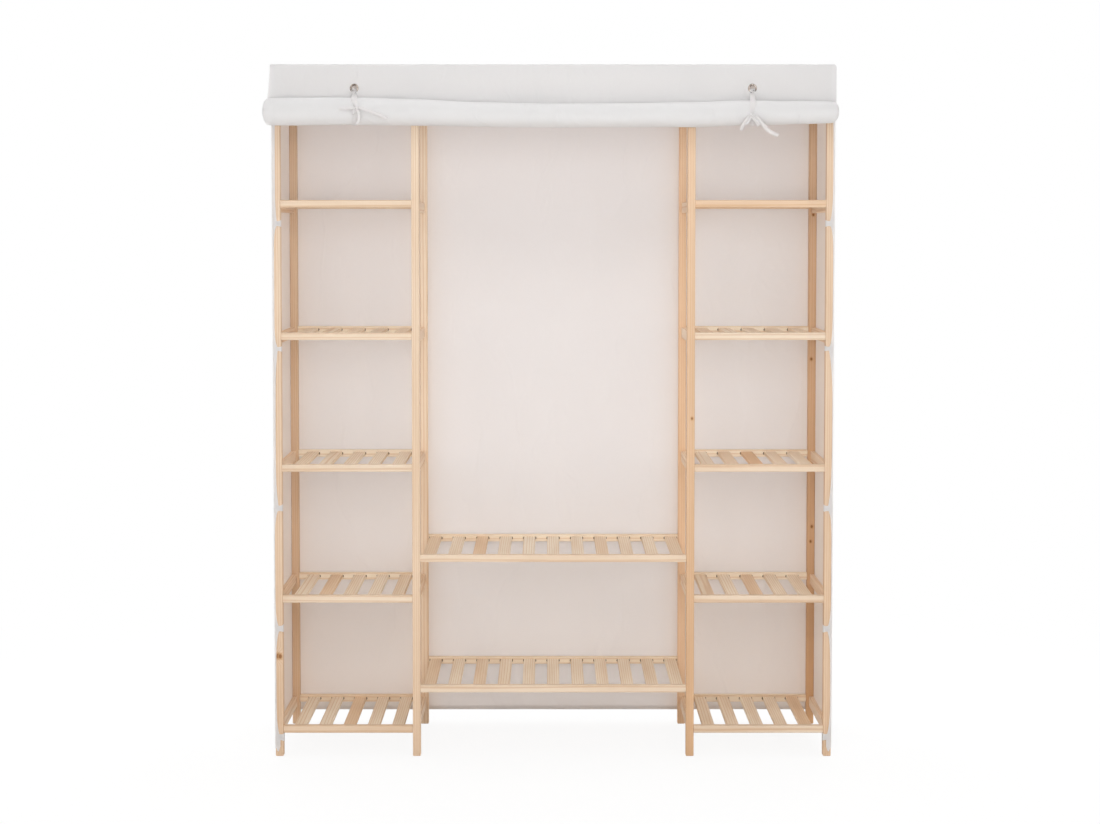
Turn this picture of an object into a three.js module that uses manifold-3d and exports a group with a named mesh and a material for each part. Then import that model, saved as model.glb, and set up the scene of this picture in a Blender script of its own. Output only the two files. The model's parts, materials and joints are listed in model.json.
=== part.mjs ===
// Portable fabric wardrobe: two slatted pine towers with a bay between them, under a cloth cover.
// Millimetres. X runs to the right, Y to the back and Z up from the floor.
// The origin lies on the floor, midway across the width and the depth of the whole wardrobe.

import * as THREE from 'three';
import { mergeVertices } from 'three/addons/utils/BufferGeometryUtils.js';
import Module from 'manifold-3d';

const wasm = await Module();
wasm.setup();

// Plan of the frame
const towerClear = 317; // between the posts of one tower
const bayClear = 650; // between the two towers
const frameDepth = 396; // over the front and rear posts
const postWidth = 19;
const postDepth = 25;
const postRise = 3.5; // of a post above the top rails
const postEase = 1.4; // eased edges and feet

// Levels
const firstShelf = 57; // floor to the underside of the lowest rails
const shelfPitch = 321.3;
const shelfLevels = 5; // the top rails are one pitch above the last shelf
const bayShelfRise = 100; // of a bay shelf above the tower shelf beside it
const bayShelves = 2;

// Rails and slats
const railHeight = 18;
const railDepth = 18;
const railSetback = 2; // behind the front faces of the posts
const railEase = 1.6;
const slatWidth = 30;
const slatThickness = 9;
const slatDrop = 4.5; // of a slat below the top of its rails
const slatEase = 0.9;
const slatTongue = 9; // length of a slat's end inside its rail
const mortiseSide = 2.6; // room beside a slat in its rounded mortise
const mortiseSteps = 2; // facets of a quarter round
const slatBite = 0.1; // of a slat into the flats of its mortise
const towerSlats = 5;
const towerSlatPitch = 60;
const roofSlats = 3;
const roofSlatPitch = 120;
const baySlats = 11;
const baySlatPitch = 61;

// Rungs, front to back between the posts
const rungThickness = 12;
const rungHeight = 26;
const rungDrop = 11; // below the underside of the rails
const rungEase = 1.2;
const tenonLength = 8;
const tenonShoulder = 2.5;
const carrierHeight = 60; // of the inner top rungs that carry the hanging rail

// Hanging rail
const hangRailRadius = 12.5;
const hangRailRise = 22; // of its axis above the carriers' lower edges
const hangRailSeat = 8; // depth of the blind bores
const hangRailFacets = 24;

// Cover
const sheet = 1.6; // thickness of the cloth
const sideHemFront = 16; // floor to the side panels at the front
const sideHemRear = 33;
const backHem = 33;
const hemHeight = 16;
const hemThickness = 0.9; // added by the turned hem
const roofSag = 2.2;
const roofSteps = 8;
const headerHeight = 80;
const edgeWidth = 8; // side panel's return over the front of its post
const shoulderWidth = 13.5; // the same, beside a tab
const tabHeight = 14;
const tabShares = [0.0275, 0.187, 0.361, 0.594, 0.769]; // up the height of the posts
const scallopPower = 6;
const scallopSteps = 6;

// Door, rolled up
const doorGap = 0.8; // behind the door cloth
const rollGap = 0.5; // between the door cloth and the roll
const rollTurns = 10;
const rollPitch = 1.74;
const rolledSheet = 1;
const rollSteps = 20; // facets a turn
const rollOverhang = 14; // of the roll's middle past the side panels, at each end
const rollTaper = 12; // its outer layers end this much sooner
const doorFloorGap = 12; // under the door when it is down

// Ties and eyelets
const eyeletSpacing = 960;
const eyeletRise = 24; // above the lower edge of the header
const eyeletBore = 5.5;
const eyeletWall = 1;
const eyeletFlange = 10;
const flangeThickness = 0.9;
const eyeletFacets = 14;
const tieWidth = 9;
const tieThickness = 1;
const tieGap = 1.6; // between the door cloth and the tie behind it
const tieSteps = 14;
const tieNose = 2.2; // of the tie in front of the header
const knotRadius = 4.5;
const knotFacets = 8;
const knotRises = { left: 4, right: -8 }; // above the axis of the roll
const tailLength = 52;
const tailWidth = 7;
const tailShares = { // of the tail length, across and up from the knot
  left: [[-0.78, -0.04], [1.38, -0.48], [0.04, -0.76]],
  right: [[-0.46, -0.76], [1.18, -0.96], [0.4, -0.42]],
};

// Fits
const seatGap = 0.3; // between two pieces that touch
const overrun = 0.4; // of a cut past a face, or of a glued piece into its seat

// Heights and places worked out from the sizes
const topLevel = firstShelf + shelfLevels * shelfPitch;
const postHeight = topLevel + railHeight + postRise;
const towerCentre = bayClear / 2 + postWidth + towerClear / 2;
const postOffset = (towerClear + postWidth) / 2;
const frameHalf = towerCentre + towerClear / 2 + postWidth;
const frontFace = -frameDepth / 2;
const coverHalf = frameHalf + seatGap + sheet;
const returnFront = frontFace - seatGap - sheet;
const doorBack = returnFront - doorGap;
const doorFront = doorBack - sheet;
const backFront = frameDepth / 2 + seatGap;
const headerBottom = postHeight - headerHeight;
const doorDrop = headerBottom - doorFloorGap;
const rollRadius = (rollTurns ** 2 * rollPitch + doorDrop / Math.PI) / (2 * rollTurns + 2 / Math.PI);
const rollHeight = headerBottom - rollRadius;
const rollAxis = doorFront - rollGap - rollRadius;
const tieRadius = -rollAxis + doorBack + tieGap + tieThickness / 2;
const knotReach = (rise) => Math.sqrt(tieRadius ** 2 - rise ** 2) + knotRadius / 2;
const frontReach = -rollAxis + Math.max(knotReach(knotRises.left), knotReach(knotRises.right)) + knotRadius;
const backReach = backFront + sheet + hemThickness;
const frameSetback = (frontReach - backReach) / 2;
const carrierTop = topLevel - rungDrop + rungHeight;
const panelTop = postHeight - roofSag; // the upright panels end under the sagging roof

const pine = () => new THREE.MeshStandardMaterial({ color: 0xe3c093, roughness: 0.62, metalness: 0 });
const cloth = () => new THREE.MeshStandardMaterial({ color: 0xe6e4e2, roughness: 0.95, metalness: 0 });
const steel = () => new THREE.MeshStandardMaterial({ color: 0xb9b3aa, roughness: 0.3, metalness: 1 });

// A closed mesh as a solid that can be cut and joined
function solidFrom(geometry) {
  const bare = geometry.index ? geometry.toNonIndexed() : geometry.clone();
  bare.deleteAttribute('normal');
  bare.deleteAttribute('uv');
  const merged = mergeVertices(bare);
  const vertProperties = Float32Array.from(merged.attributes.position.array);
  const triVerts = Uint32Array.from(merged.index.array);
  return new wasm.Manifold(new wasm.Mesh({ numProp: 3, vertProperties, triVerts }));
}

function geometryFrom(solid) {
  const mesh = solid.getMesh();
  const geometry = new THREE.BufferGeometry();
  geometry.setAttribute('position', new THREE.BufferAttribute(mesh.vertProperties, 3));
  geometry.setIndex(new THREE.BufferAttribute(mesh.triVerts, 1));
  geometry.computeVertexNormals();
  return geometry;
}

function addPiece(group, name, shape, material, x = 0, y = 0, z = 0) {
  const geometry = shape.isBufferGeometry ? shape : geometryFrom(shape);
  const piece = new THREE.Mesh(geometry, material);
  piece.name = name;
  piece.position.set(x, y, z);
  group.add(piece);
}

function outlineThrough(points) {
  return new THREE.Shape(points.map(([x, y]) => new THREE.Vector2(x, y)));
}

// An outline drawn out along Z, midway about the origin, with eased ends if asked
function drawnOut(outline, length, endEase = 0, curveSegments = 4) {
  const bevel = {
    bevelEnabled: endEase > 0,
    bevelThickness: endEase,
    bevelSize: endEase,
    bevelOffset: -endEase,
    bevelSegments: 1,
  };
  const depth = length - 2 * endEase;
  const geometry = new THREE.ExtrudeGeometry(outline, { depth, steps: 1, curveSegments, ...bevel });
  return geometry.translate(0, 0, -depth / 2);
}

// Turned so that the outline's own X and Y become X and Z, and its length lies along Y
const alongY = (geometry) => geometry.rotateX(Math.PI / 2);

// Turned so that the outline's own X and Y become Y and Z, and its length lies along X
const alongX = (geometry) => geometry.rotateX(Math.PI / 2).rotateZ(Math.PI / 2);

// A bar's section with its four corners eased
function easedSection(width, height, ease) {
  const x = width / 2;
  const y = height / 2;
  return outlineThrough([
    [x - ease, -y], [x, -y + ease], [x, y - ease], [x - ease, y],
    [-x + ease, y], [-x, y - ease], [-x, -y + ease], [-x + ease, -y],
  ]);
}

// Levels of the rungs: their mid heights and their own heights, from the floor up
function rungLevels(inner) {
  const levels = [];
  for (let level = 0; level < shelfLevels; level += 1) {
    const bottom = firstShelf + level * shelfPitch - rungDrop;
    levels.push({ middle: bottom + rungHeight / 2, height: rungHeight });
  }
  const topHeight = inner ? carrierHeight : rungHeight;
  levels.push({ middle: carrierTop - topHeight / 2, height: topHeight });
  return levels;
}

// A post with its feet eased and a blind mortise for each rung; facing is 1 where they open to the back
function post(outward, inner, facing) {
  const bar = drawnOut(easedSection(postWidth, postDepth, postEase), postHeight, postEase);
  let solid = solidFrom(bar.translate(0, 0, postHeight / 2));
  const mortiseDepth = tenonLength + seatGap;
  for (const { middle, height } of rungLevels(inner)) {
    const width = rungThickness - 2 * tenonShoulder + 2 * seatGap;
    const tall = height - 2 * tenonShoulder + 2 * seatGap;
    const mortise = new THREE.BoxGeometry(width, mortiseDepth + overrun, tall);
    const y = facing * (postDepth / 2 - mortiseDepth / 2 + overrun / 2);
    solid = solid.subtract(solidFrom(mortise.translate(rungOffset(outward), y, middle)));
  }
  return solid;
}

// Rungs lie flush with the outward faces of their posts
const rungOffset = (outward) => outward * (postWidth - rungThickness) / 2;

function rung(height) {
  const shoulderLength = frameDepth - 2 * postDepth - 2 * seatGap;
  const bar = alongY(drawnOut(easedSection(rungThickness, height, rungEase), shoulderLength));
  const tenonWidth = rungThickness - 2 * tenonShoulder;
  const tenonReach = shoulderLength + 2 * seatGap + 2 * tenonLength;
  const tenons = new THREE.BoxGeometry(tenonWidth, tenonReach, height - 2 * tenonShoulder);
  return solidFrom(bar).add(solidFrom(tenons));
}

// The inner top rung, with the blind bore that takes the end of the hanging rail
function railCarrier(outward) {
  const radius = hangRailRadius + seatGap;
  const bore = new THREE.CylinderGeometry(radius, radius, hangRailSeat + overrun, hangRailFacets);
  bore.rotateZ(Math.PI / 2);
  const x = -outward * (rungThickness / 2 - hangRailSeat / 2 + overrun / 2);
  bore.translate(x, 0, hangRailRise - carrierHeight / 2);
  return rung(carrierHeight).subtract(solidFrom(bore));
}

// The rounded mortise that an end mill leaves for a slat
function mortiseSection() {
  const radius = slatThickness / 2 - slatBite;
  const straight = slatWidth / 2 + mortiseSide - radius;
  const section = new THREE.Shape();
  section.moveTo(-straight, -radius);
  section.lineTo(straight, -radius);
  section.absarc(straight, 0, radius, -Math.PI / 2, Math.PI / 2);
  section.lineTo(-straight, radius);
  section.absarc(-straight, 0, radius, Math.PI / 2, Math.PI * 1.5);
  return section;
}

// Two rails with slats let into rounded mortises. Its origin is midway, at the underside of the rails.
function slattedPanel(clear, slats, pitch) {
  const railLength = clear - 2 * seatGap;
  const railMiddle = frameDepth / 2 - railSetback - railDepth / 2;
  const section = easedSection(railDepth, railHeight, railEase);
  const railBar = (y) => alongX(drawnOut(section, railLength)).translate(0, y, railHeight / 2);
  const rails = [solidFrom(railBar(-railMiddle)), solidFrom(railBar(railMiddle))];
  const slatLength = 2 * railMiddle - railDepth + 2 * slatTongue;
  const slatMiddle = railHeight - slatDrop - slatThickness / 2;
  const slatBars = [];
  for (let index = 0; index < slats; index += 1) {
    const x = (index - (slats - 1) / 2) * pitch;
    const mortise = alongY(drawnOut(mortiseSection(), slatLength, 0, mortiseSteps));
    const pocket = solidFrom(mortise.translate(x, 0, slatMiddle));
    const slatSection = easedSection(slatWidth, slatThickness, slatEase);
    const slat = alongY(drawnOut(slatSection, slatLength + overrun));
    rails[0] = rails[0].subtract(pocket);
    rails[1] = rails[1].subtract(pocket);
    slatBars.push(solidFrom(slat.translate(x, 0, slatMiddle)));
  }
  return slatBars.reduce((panel, slat) => panel.add(slat), rails[0].add(rails[1]));
}

function plainRail(clear) {
  return alongX(drawnOut(easedSection(railDepth, railHeight, railEase), clear - 2 * seatGap));
}

// One ladder of a tower: a front and a rear post with six rungs between them
function addSideFrame(tower, side, outward, inner) {
  const place = inner ? 'inner' : 'outer';
  const x = inner ? -outward * postOffset : outward * postOffset;
  const postMiddle = frameDepth / 2 - postDepth / 2;
  addPiece(tower, `post_${side}_${place}_front`, post(outward, inner, 1), pine(), x, -postMiddle);
  addPiece(tower, `post_${side}_${place}_rear`, post(outward, inner, -1), pine(), x, postMiddle);
  const levels = rungLevels(inner);
  const rungX = x + rungOffset(outward);
  levels.slice(0, shelfLevels).forEach(({ middle, height }, level) => {
    addPiece(tower, `rung_${side}_${place}_${level + 1}`, rung(height), pine(), rungX, 0, middle);
  });
  const top = levels[shelfLevels];
  const topRung = inner ? railCarrier(outward) : rung(top.height);
  const topName = inner ? `rail_carrier_${side}` : `top_rung_${side}`;
  addPiece(tower, topName, topRung, pine(), rungX, 0, top.middle);
}

function addTower(frame, side, outward) {
  const tower = new THREE.Group();
  tower.position.x = outward * towerCentre;
  addSideFrame(tower, side, outward, false);
  addSideFrame(tower, side, outward, true);
  for (let level = 0; level < shelfLevels; level += 1) {
    const shelf = slattedPanel(towerClear, towerSlats, towerSlatPitch);
    addPiece(tower, `shelf_${side}_${level + 1}`, shelf, pine(), 0, 0, firstShelf + level * shelfPitch);
  }
  const roof = slattedPanel(towerClear, roofSlats, roofSlatPitch);
  addPiece(tower, `top_frame_${side}`, roof, pine(), 0, 0, topLevel);
  frame.add(tower);
}

// The bay between the towers: two wide shelves, two top rails and the hanging rail
function addBay(frame) {
  for (let level = 0; level < bayShelves; level += 1) {
    const height = firstShelf + level * shelfPitch + bayShelfRise;
    const shelf = slattedPanel(bayClear, baySlats, baySlatPitch);
    addPiece(frame, `bay_shelf_${level + 1}`, shelf, pine(), 0, 0, height);
  }
  const railMiddle = frameDepth / 2 - railSetback - railDepth / 2;
  addPiece(frame, 'top_rail_front', plainRail(bayClear), pine(), 0, -railMiddle, topLevel + railHeight / 2);
  addPiece(frame, 'top_rail_rear', plainRail(bayClear), pine(), 0, railMiddle, topLevel + railHeight / 2);
  const seatFace = bayClear / 2 + postWidth - rungThickness;
  const railLength = 2 * (seatFace + hangRailSeat - seatGap);
  const hangRail = new THREE.CylinderGeometry(hangRailRadius, hangRailRadius, railLength, hangRailFacets);
  const railHeightAbove = carrierTop - carrierHeight + hangRailRise;
  addPiece(frame, 'hanging_rail', hangRail.rotateZ(Math.PI / 2), pine(), 0, 0, railHeightAbove);
}

// Inner edge of a side panel's return over the front of its post, as [distance in, height].
// It runs from the floor up, held out by the tabs, and swings back between them.
function returnEdge() {
  const tabReach = postWidth + seatGap + sheet;
  const tabs = tabShares.map((share) => share * postHeight);
  const edge = [[shoulderWidth, sideHemFront]];
  tabs.forEach((tab, index) => {
    const low = tab - tabHeight / 2;
    const high = tab + tabHeight / 2;
    edge.push([shoulderWidth, low], [tabReach, low], [tabReach, high]);
    const next = index + 1 < tabs.length ? tabs[index + 1] - tabHeight / 2 : headerBottom;
    for (let step = 0; step < scallopSteps; step += 1) {
      const along = step / scallopSteps;
      const pull = Math.abs(2 * along - 1) ** scallopPower;
      edge.push([edgeWidth + (shoulderWidth - edgeWidth) * pull, high + along * (next - high)]);
    }
  });
  edge.push([shoulderWidth, headerBottom], [shoulderWidth, panelTop]);
  return edge;
}

// A side panel: the sheet beside its tower and the scalloped return round the front post
function sidePanel(outward) {
  const panelOutline = outlineThrough([
    [returnFront, sideHemFront], [frameDepth / 2, sideHemRear],
    [frameDepth / 2, panelTop], [returnFront, panelTop],
  ]);
  const panel = alongX(drawnOut(panelOutline, sheet)).translate(outward * (coverHalf - sheet / 2), 0, 0);
  const inward = returnEdge().map(([reach, height]) => [outward * (coverHalf - reach), height]);
  const corner = outward * coverHalf;
  const returnOutline = outlineThrough([[corner, sideHemFront], ...inward, [corner, panelTop]]);
  const frontReturn = alongY(drawnOut(returnOutline, sheet)).translate(0, returnFront + sheet / 2, 0);
  return solidFrom(panel).add(solidFrom(frontReturn));
}

// The back panel, with its turned hem
function backPanel() {
  const outer = backFront + sheet;
  const hemTop = backHem + hemHeight;
  const profile = outlineThrough([
    [backFront, backHem], [outer + hemThickness, backHem], [outer + hemThickness, hemTop],
    [outer, hemTop + hemThickness], [outer, panelTop], [backFront, panelTop],
  ]);
  return alongX(drawnOut(profile, 2 * coverHalf));
}

// The top sheet, which sags a little over each tower and over the bay
function roofPanel() {
  const spans = [
    [-towerCentre - towerClear / 2, -towerCentre + towerClear / 2],
    [-bayClear / 2, bayClear / 2],
    [towerCentre - towerClear / 2, towerCentre + towerClear / 2],
  ];
  const line = [[-coverHalf, 0]];
  for (const [start, end] of spans) {
    for (let step = 0; step <= roofSteps; step += 1) {
      const along = step / roofSteps;
      line.push([start + along * (end - start), -roofSag * 4 * along * (1 - along)]);
    }
  }
  line.push([coverHalf, 0]);
  const under = postHeight + seatGap;
  const lower = line.map(([x, z]) => [x, under + z]);
  const upper = line.map(([x, z]) => [x, under + sheet + z]).reverse();
  const depth = backFront + sheet - doorFront;
  const panel = alongY(drawnOut(outlineThrough([...lower, ...upper]), depth));
  return panel.translate(0, doorFront + depth / 2, 0);
}

// The header above the door, pierced for the two eyelets
function header() {
  const outline = outlineThrough([
    [-coverHalf, headerBottom], [coverHalf, headerBottom], [coverHalf, panelTop], [-coverHalf, panelTop],
  ]);
  for (const side of [-1, 1]) {
    const hole = new THREE.Path();
    const radius = eyeletBore + eyeletWall + seatGap;
    hole.absarc(side * eyeletSpacing / 2, headerBottom + eyeletRise, radius, 0, Math.PI * 2, true);
    outline.holes.push(hole);
  }
  return alongY(drawnOut(outline, sheet, 0, eyeletFacets / 2)).translate(0, doorFront + sheet / 2, 0);
}

// An eyelet: a tube through the header with a rolled flange on each face. Its axis lies along Y.
function eyelet() {
  const barrel = eyeletBore + eyeletWall;
  const inside = sheet / 2 + seatGap;
  const outside = inside + flangeThickness;
  const lip = flangeThickness / 2;
  const profile = [
    [eyeletBore, -outside + lip], [eyeletBore + lip, -outside], [eyeletFlange - lip, -outside],
    [eyeletFlange, -outside + lip], [eyeletFlange, -inside], [barrel, -inside], [barrel, inside],
    [eyeletFlange, inside], [eyeletFlange, outside - lip], [eyeletFlange - lip, outside],
    [eyeletBore + lip, outside], [eyeletBore, outside - lip], [eyeletBore, -outside + lip],
  ];
  return new THREE.LatheGeometry(profile.map(([x, y]) => new THREE.Vector2(x, y)), eyeletFacets);
}

// Least distance between the inner face of each turn of the rolled door and the outer face of the next
function leastTurnGap(outer, inner) {
  let least = Infinity;
  inner.forEach(([x, y], index) => {
    for (const [nextX, nextY] of outer.slice(index + rollSteps / 2)) {
      least = Math.min(least, Math.hypot(nextX - x, nextY - y));
    }
  });
  return least;
}

// The rolled door: one sheet wound in from the back of the roll, its outer layers shorter than its core
function doorRoll() {
  const outer = [];
  const inner = [];
  const count = rollTurns * rollSteps;
  for (let step = 0; step <= count; step += 1) {
    const angle = -step / rollSteps * Math.PI * 2;
    const radius = rollRadius - step / rollSteps * rollPitch;
    outer.push([radius * Math.cos(angle), radius * Math.sin(angle)]);
    inner.push([(radius - rolledSheet) * Math.cos(angle), (radius - rolledSheet) * Math.sin(angle)]);
  }
  console.log('least gap between turns of the rolled door, mm:', leastTurnGap(outer, inner).toFixed(2));
  const half = coverHalf + rollOverhang;
  const geometry = alongX(drawnOut(outlineThrough([...outer, ...inner.reverse()]), 2 * half));
  const places = geometry.attributes.position;
  const core = rollRadius - rollTurns * rollPitch;
  for (let index = 0; index < places.count; index += 1) {
    const depth = Math.hypot(places.getY(index), places.getZ(index)) - core;
    const drawnIn = rollTaper * depth / (rollRadius - core);
    places.setX(index, Math.sign(places.getX(index)) * (half - drawnIn));
  }
  return geometry;
}

// The tie's loop in the Y-Z plane: through the eyelet, round the roll and up behind the door cloth
function tieLoop(offset) {
  const radius = tieRadius + offset;
  const eyeletHeight = headerBottom + eyeletRise - rollHeight;
  const nose = doorFront - tieNose - rollAxis - offset;
  const top = eyeletHeight + offset;
  const distance = Math.hypot(nose, top);
  const start = Math.atan2(top, nose) + Math.acos(radius / distance);
  const points = [];
  for (let step = 0; step <= tieSteps; step += 1) {
    const angle = start + step / tieSteps * (Math.PI * 2 - start);
    points.push([radius * Math.cos(angle), radius * Math.sin(angle)]);
  }
  return [...points, [radius, top], [nose, top]];
}

// One loose end of a tie: a tape that narrows to its tip
function tieTail([across, up]) {
  const reach = Math.hypot(across, up) * tailLength;
  const outline = outlineThrough([
    [0, -tieThickness], [reach - tailWidth / 2, -tailWidth / 2], [reach, 0],
    [reach - tailWidth / 2, tailWidth / 2], [0, tieThickness],
  ]);
  return solidFrom(alongY(drawnOut(outline, tieThickness)).rotateY(-Math.atan2(up, across)));
}

function tie(side) {
  const rise = knotRises[side];
  const band = outlineThrough(tieLoop(tieThickness / 2));
  band.holes.push(outlineThrough(tieLoop(-tieThickness / 2)));
  const knot = new THREE.SphereGeometry(knotRadius, knotFacets, knotFacets - 2);
  knot.translate(0, -knotReach(rise), rise);
  let solid = solidFrom(alongX(drawnOut(band, tieWidth))).add(solidFrom(knot));
  for (const shares of tailShares[side]) {
    solid = solid.add(tieTail(shares).translate([0, -knotReach(rise), rise]));
  }
  return solid;
}

function addCover(wardrobe) {
  addPiece(wardrobe, 'cover_back', backPanel(), cloth());
  addPiece(wardrobe, 'cover_left', sidePanel(-1), cloth());
  addPiece(wardrobe, 'cover_right', sidePanel(1), cloth());
  addPiece(wardrobe, 'cover_top', roofPanel(), cloth());
  addPiece(wardrobe, 'door_header', header(), cloth());
}

function addDoor(wardrobe) {
  const clothHeight = headerBottom - seatGap - rollHeight;
  const doorCloth = new THREE.BoxGeometry(2 * coverHalf, sheet, clothHeight);
  const sheetMiddle = doorFront + sheet / 2;
  addPiece(wardrobe, 'door_cloth', doorCloth, cloth(), 0, sheetMiddle, rollHeight + clothHeight / 2);
  addPiece(wardrobe, 'door_roll', doorRoll(), cloth(), 0, rollAxis, rollHeight);
  const eyeletHeight = headerBottom + eyeletRise;
  for (const [side, outward] of [['left', -1], ['right', 1]]) {
    const x = outward * eyeletSpacing / 2;
    addPiece(wardrobe, `tie_${side}`, tie(side), cloth(), x, rollAxis, rollHeight);
    addPiece(wardrobe, `eyelet_${side}`, eyelet(), steel(), x, sheetMiddle, eyeletHeight);
  }
}

const wardrobe = new THREE.Group();
wardrobe.position.y = frameSetback;
addTower(wardrobe, 'left', -1);
addTower(wardrobe, 'right', 1);
addBay(wardrobe);
addCover(wardrobe);
addDoor(wardrobe);

export default wardrobe;
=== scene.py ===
import json
import math
import random

import bmesh
import bpy
from mathutils import Matrix, Vector, noise


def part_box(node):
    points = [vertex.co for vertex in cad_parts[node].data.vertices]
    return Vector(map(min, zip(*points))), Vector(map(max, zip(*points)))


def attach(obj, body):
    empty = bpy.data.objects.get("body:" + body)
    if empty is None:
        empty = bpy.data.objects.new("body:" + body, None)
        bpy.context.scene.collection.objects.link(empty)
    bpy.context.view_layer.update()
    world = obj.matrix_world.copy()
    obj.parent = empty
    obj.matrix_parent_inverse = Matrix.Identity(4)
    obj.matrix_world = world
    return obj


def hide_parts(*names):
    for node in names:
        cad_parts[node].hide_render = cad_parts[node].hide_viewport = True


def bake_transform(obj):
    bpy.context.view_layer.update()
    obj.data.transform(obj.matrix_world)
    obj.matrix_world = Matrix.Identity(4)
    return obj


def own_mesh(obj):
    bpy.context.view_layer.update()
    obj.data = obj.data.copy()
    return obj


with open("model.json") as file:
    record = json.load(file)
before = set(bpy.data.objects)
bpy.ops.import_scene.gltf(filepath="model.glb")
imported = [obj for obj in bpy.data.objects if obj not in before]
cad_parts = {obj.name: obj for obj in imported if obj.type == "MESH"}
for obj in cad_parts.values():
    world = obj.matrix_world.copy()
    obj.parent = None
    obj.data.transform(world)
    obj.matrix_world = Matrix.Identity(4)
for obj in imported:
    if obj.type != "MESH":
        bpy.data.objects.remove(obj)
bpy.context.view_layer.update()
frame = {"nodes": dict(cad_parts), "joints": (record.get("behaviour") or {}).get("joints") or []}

print("frame loaded:", len(frame["nodes"]), "nodes")


# Places that the frame gives, in metres
def middleOf(node, axis):
    low, high = (getattr(corner, axis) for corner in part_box(node))
    return (low + high) / 2


postLow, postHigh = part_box("post_left_outer_front")
postFront = postLow.y  # front face of the front posts
postBack = postHigh.y  # their back face
postTop = postHigh.z
rearPostFront, rearFace = (corner.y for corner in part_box("post_left_outer_rear"))
innerFace, frameHalf = (corner.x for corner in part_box("post_right_outer_front"))  # of an outer post
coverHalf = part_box("cover_right")[1].x
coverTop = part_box("cover_top")[1].z
headerLow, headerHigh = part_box("door_header")
rollJoint = next(joint for joint in frame["joints"] if joint["name"] == "roll_turn")
rollAxisY, rollAxisZ = rollJoint["pos_m"][1:]
rollRadius = headerLow.z - rollAxisZ
eyeletX, eyeletZ = (middleOf("eyelet_right", axis) for axis in "xz")
innerPostX = [[corner.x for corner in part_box(f"post_{side}_inner_rear")] for side in ("left", "right")]
rungLevels = [middleOf(f"rung_left_outer_{level}", "z") for level in range(1, 6)]
clearance = 0.0004  # between a sheet and what it lies on
sides = {"left": -1, "right": 1}  # outward along X


# Small tools
def clearSelection():
    if bpy.context.object and bpy.context.object.mode != "OBJECT":
        bpy.ops.object.mode_set(mode="OBJECT")
    bpy.ops.object.select_all(action="DESELECT")


def pickObject(piece):
    clearSelection()
    piece.select_set(True)
    bpy.context.view_layer.objects.active = piece


def applyModifiers(piece):
    pickObject(piece)
    for modifier in list(piece.modifiers):
        bpy.ops.object.modifier_apply(modifier=modifier.name)


def settle(piece, name, angle):
    # name, place in the mesh, soft shading below the angle
    pickObject(piece)
    bpy.ops.object.transform_apply(location=True, rotation=True, scale=True)
    bpy.ops.object.shade_smooth_by_angle(angle=math.radians(angle))
    piece.name = name
    piece.data.name = name
    return piece


def paint(piece, *materials):
    piece.data.materials.clear()
    for material in materials:
        piece.data.materials.append(material)


def between(start, end, share):
    return start + (end - start) * share


def steps(start, end, count):
    return [between(start, end, step / count) for step in range(count + 1)]


def ease(share):
    share = min(1, max(0, share))
    return share * share * (3 - 2 * share)


def ripple(x, y, seed):
    # smooth noise from -1 to 1, the same on each run
    return noise.noise(Vector((x, y, seed)))


def crease(x, y, seed):
    # thin soft ridges from 0 to 1
    return max(0, 1 - abs(ripple(x, y, seed)) * 5) ** 2


# A sheet of cloth: a grid whose columns and rows are laid by a function, then its thickness
def layGrid(columns, rows, place):
    clearSelection()
    across, up = len(columns) - 1, len(rows) - 1
    bpy.ops.mesh.primitive_grid_add(x_subdivisions=across, y_subdivisions=up, size=1)
    sheet = bpy.context.object
    for vertex in sheet.data.vertices:
        column = columns[round((vertex.co.x + 0.5) * across)]
        row = rows[round((vertex.co.y + 0.5) * up)]
        vertex.co = place(column, row)
    return sheet


def makeSheet(name, columns, rows, place, thickness, materials, angle=60, hole=0.0):
    # a second material is for the inner side
    sheet = layGrid(columns, rows, place)
    paint(sheet, *materials)
    wall = sheet.modifiers.new("wall", "SOLIDIFY")
    wall.thickness = thickness
    wall.offset = 0.0
    wall.material_offset = len(materials) - 1
    applyModifiers(sheet)
    if hole:
        punch(sheet, hole)
    return settle(sheet, name, angle)


# Colours as they are seen, 0 to 255
def tint(red, green, blue):
    def linear(value):
        value /= 255
        return value / 12.92 if value <= 0.04045 else ((value + 0.055) / 1.055) ** 2.4
    return (linear(red), linear(green), linear(blue), 1)


# Material nodes; a value given to one is a constant or another node's socket
def feed(tree, socket, value):
    if isinstance(value, bpy.types.NodeSocket):
        tree.links.new(value, socket)
    else:
        socket.default_value = value


def addNode(tree, kind, inputs=None, **settings):
    made = tree.nodes.new(kind)
    for name, value in settings.items():
        setattr(made, name, value)
    for name, value in (inputs or {}).items():
        feed(tree, made.inputs[name], value)
    return made


def calculate(tree, operation, *values):
    return addNode(tree, "ShaderNodeMath", dict(enumerate(values)), operation=operation).outputs[0]


def calculateVector(tree, operation, *values):
    made = addNode(tree, "ShaderNodeVectorMath", dict(enumerate(values)), operation=operation)
    return made.outputs["Value" if operation == "LENGTH" else "Vector"]


def remap(tree, value, source, target=(0, 1), curve="LINEAR"):
    inputs = {"Value": value, "From Min": source[0], "From Max": source[1],
              "To Min": target[0], "To Max": target[1]}
    return addNode(tree, "ShaderNodeMapRange", inputs, interpolation_type=curve).outputs[0]


def addNoise(tree, coords, scale, detail, roughness=0.5, distortion=0.0):
    inputs = {"Vector": coords, "Scale": scale, "Detail": detail, "Roughness": roughness,
              "Distortion": distortion}
    return addNode(tree, "ShaderNodeTexNoise", inputs).outputs["Fac"]


def addBump(tree, height, strength, distance, below=None):
    bump = addNode(tree, "ShaderNodeBump", {"Height": height, "Strength": strength, "Distance": distance})
    if below is not None:
        tree.links.new(below, bump.inputs["Normal"])
    return bump.outputs[0]


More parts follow.
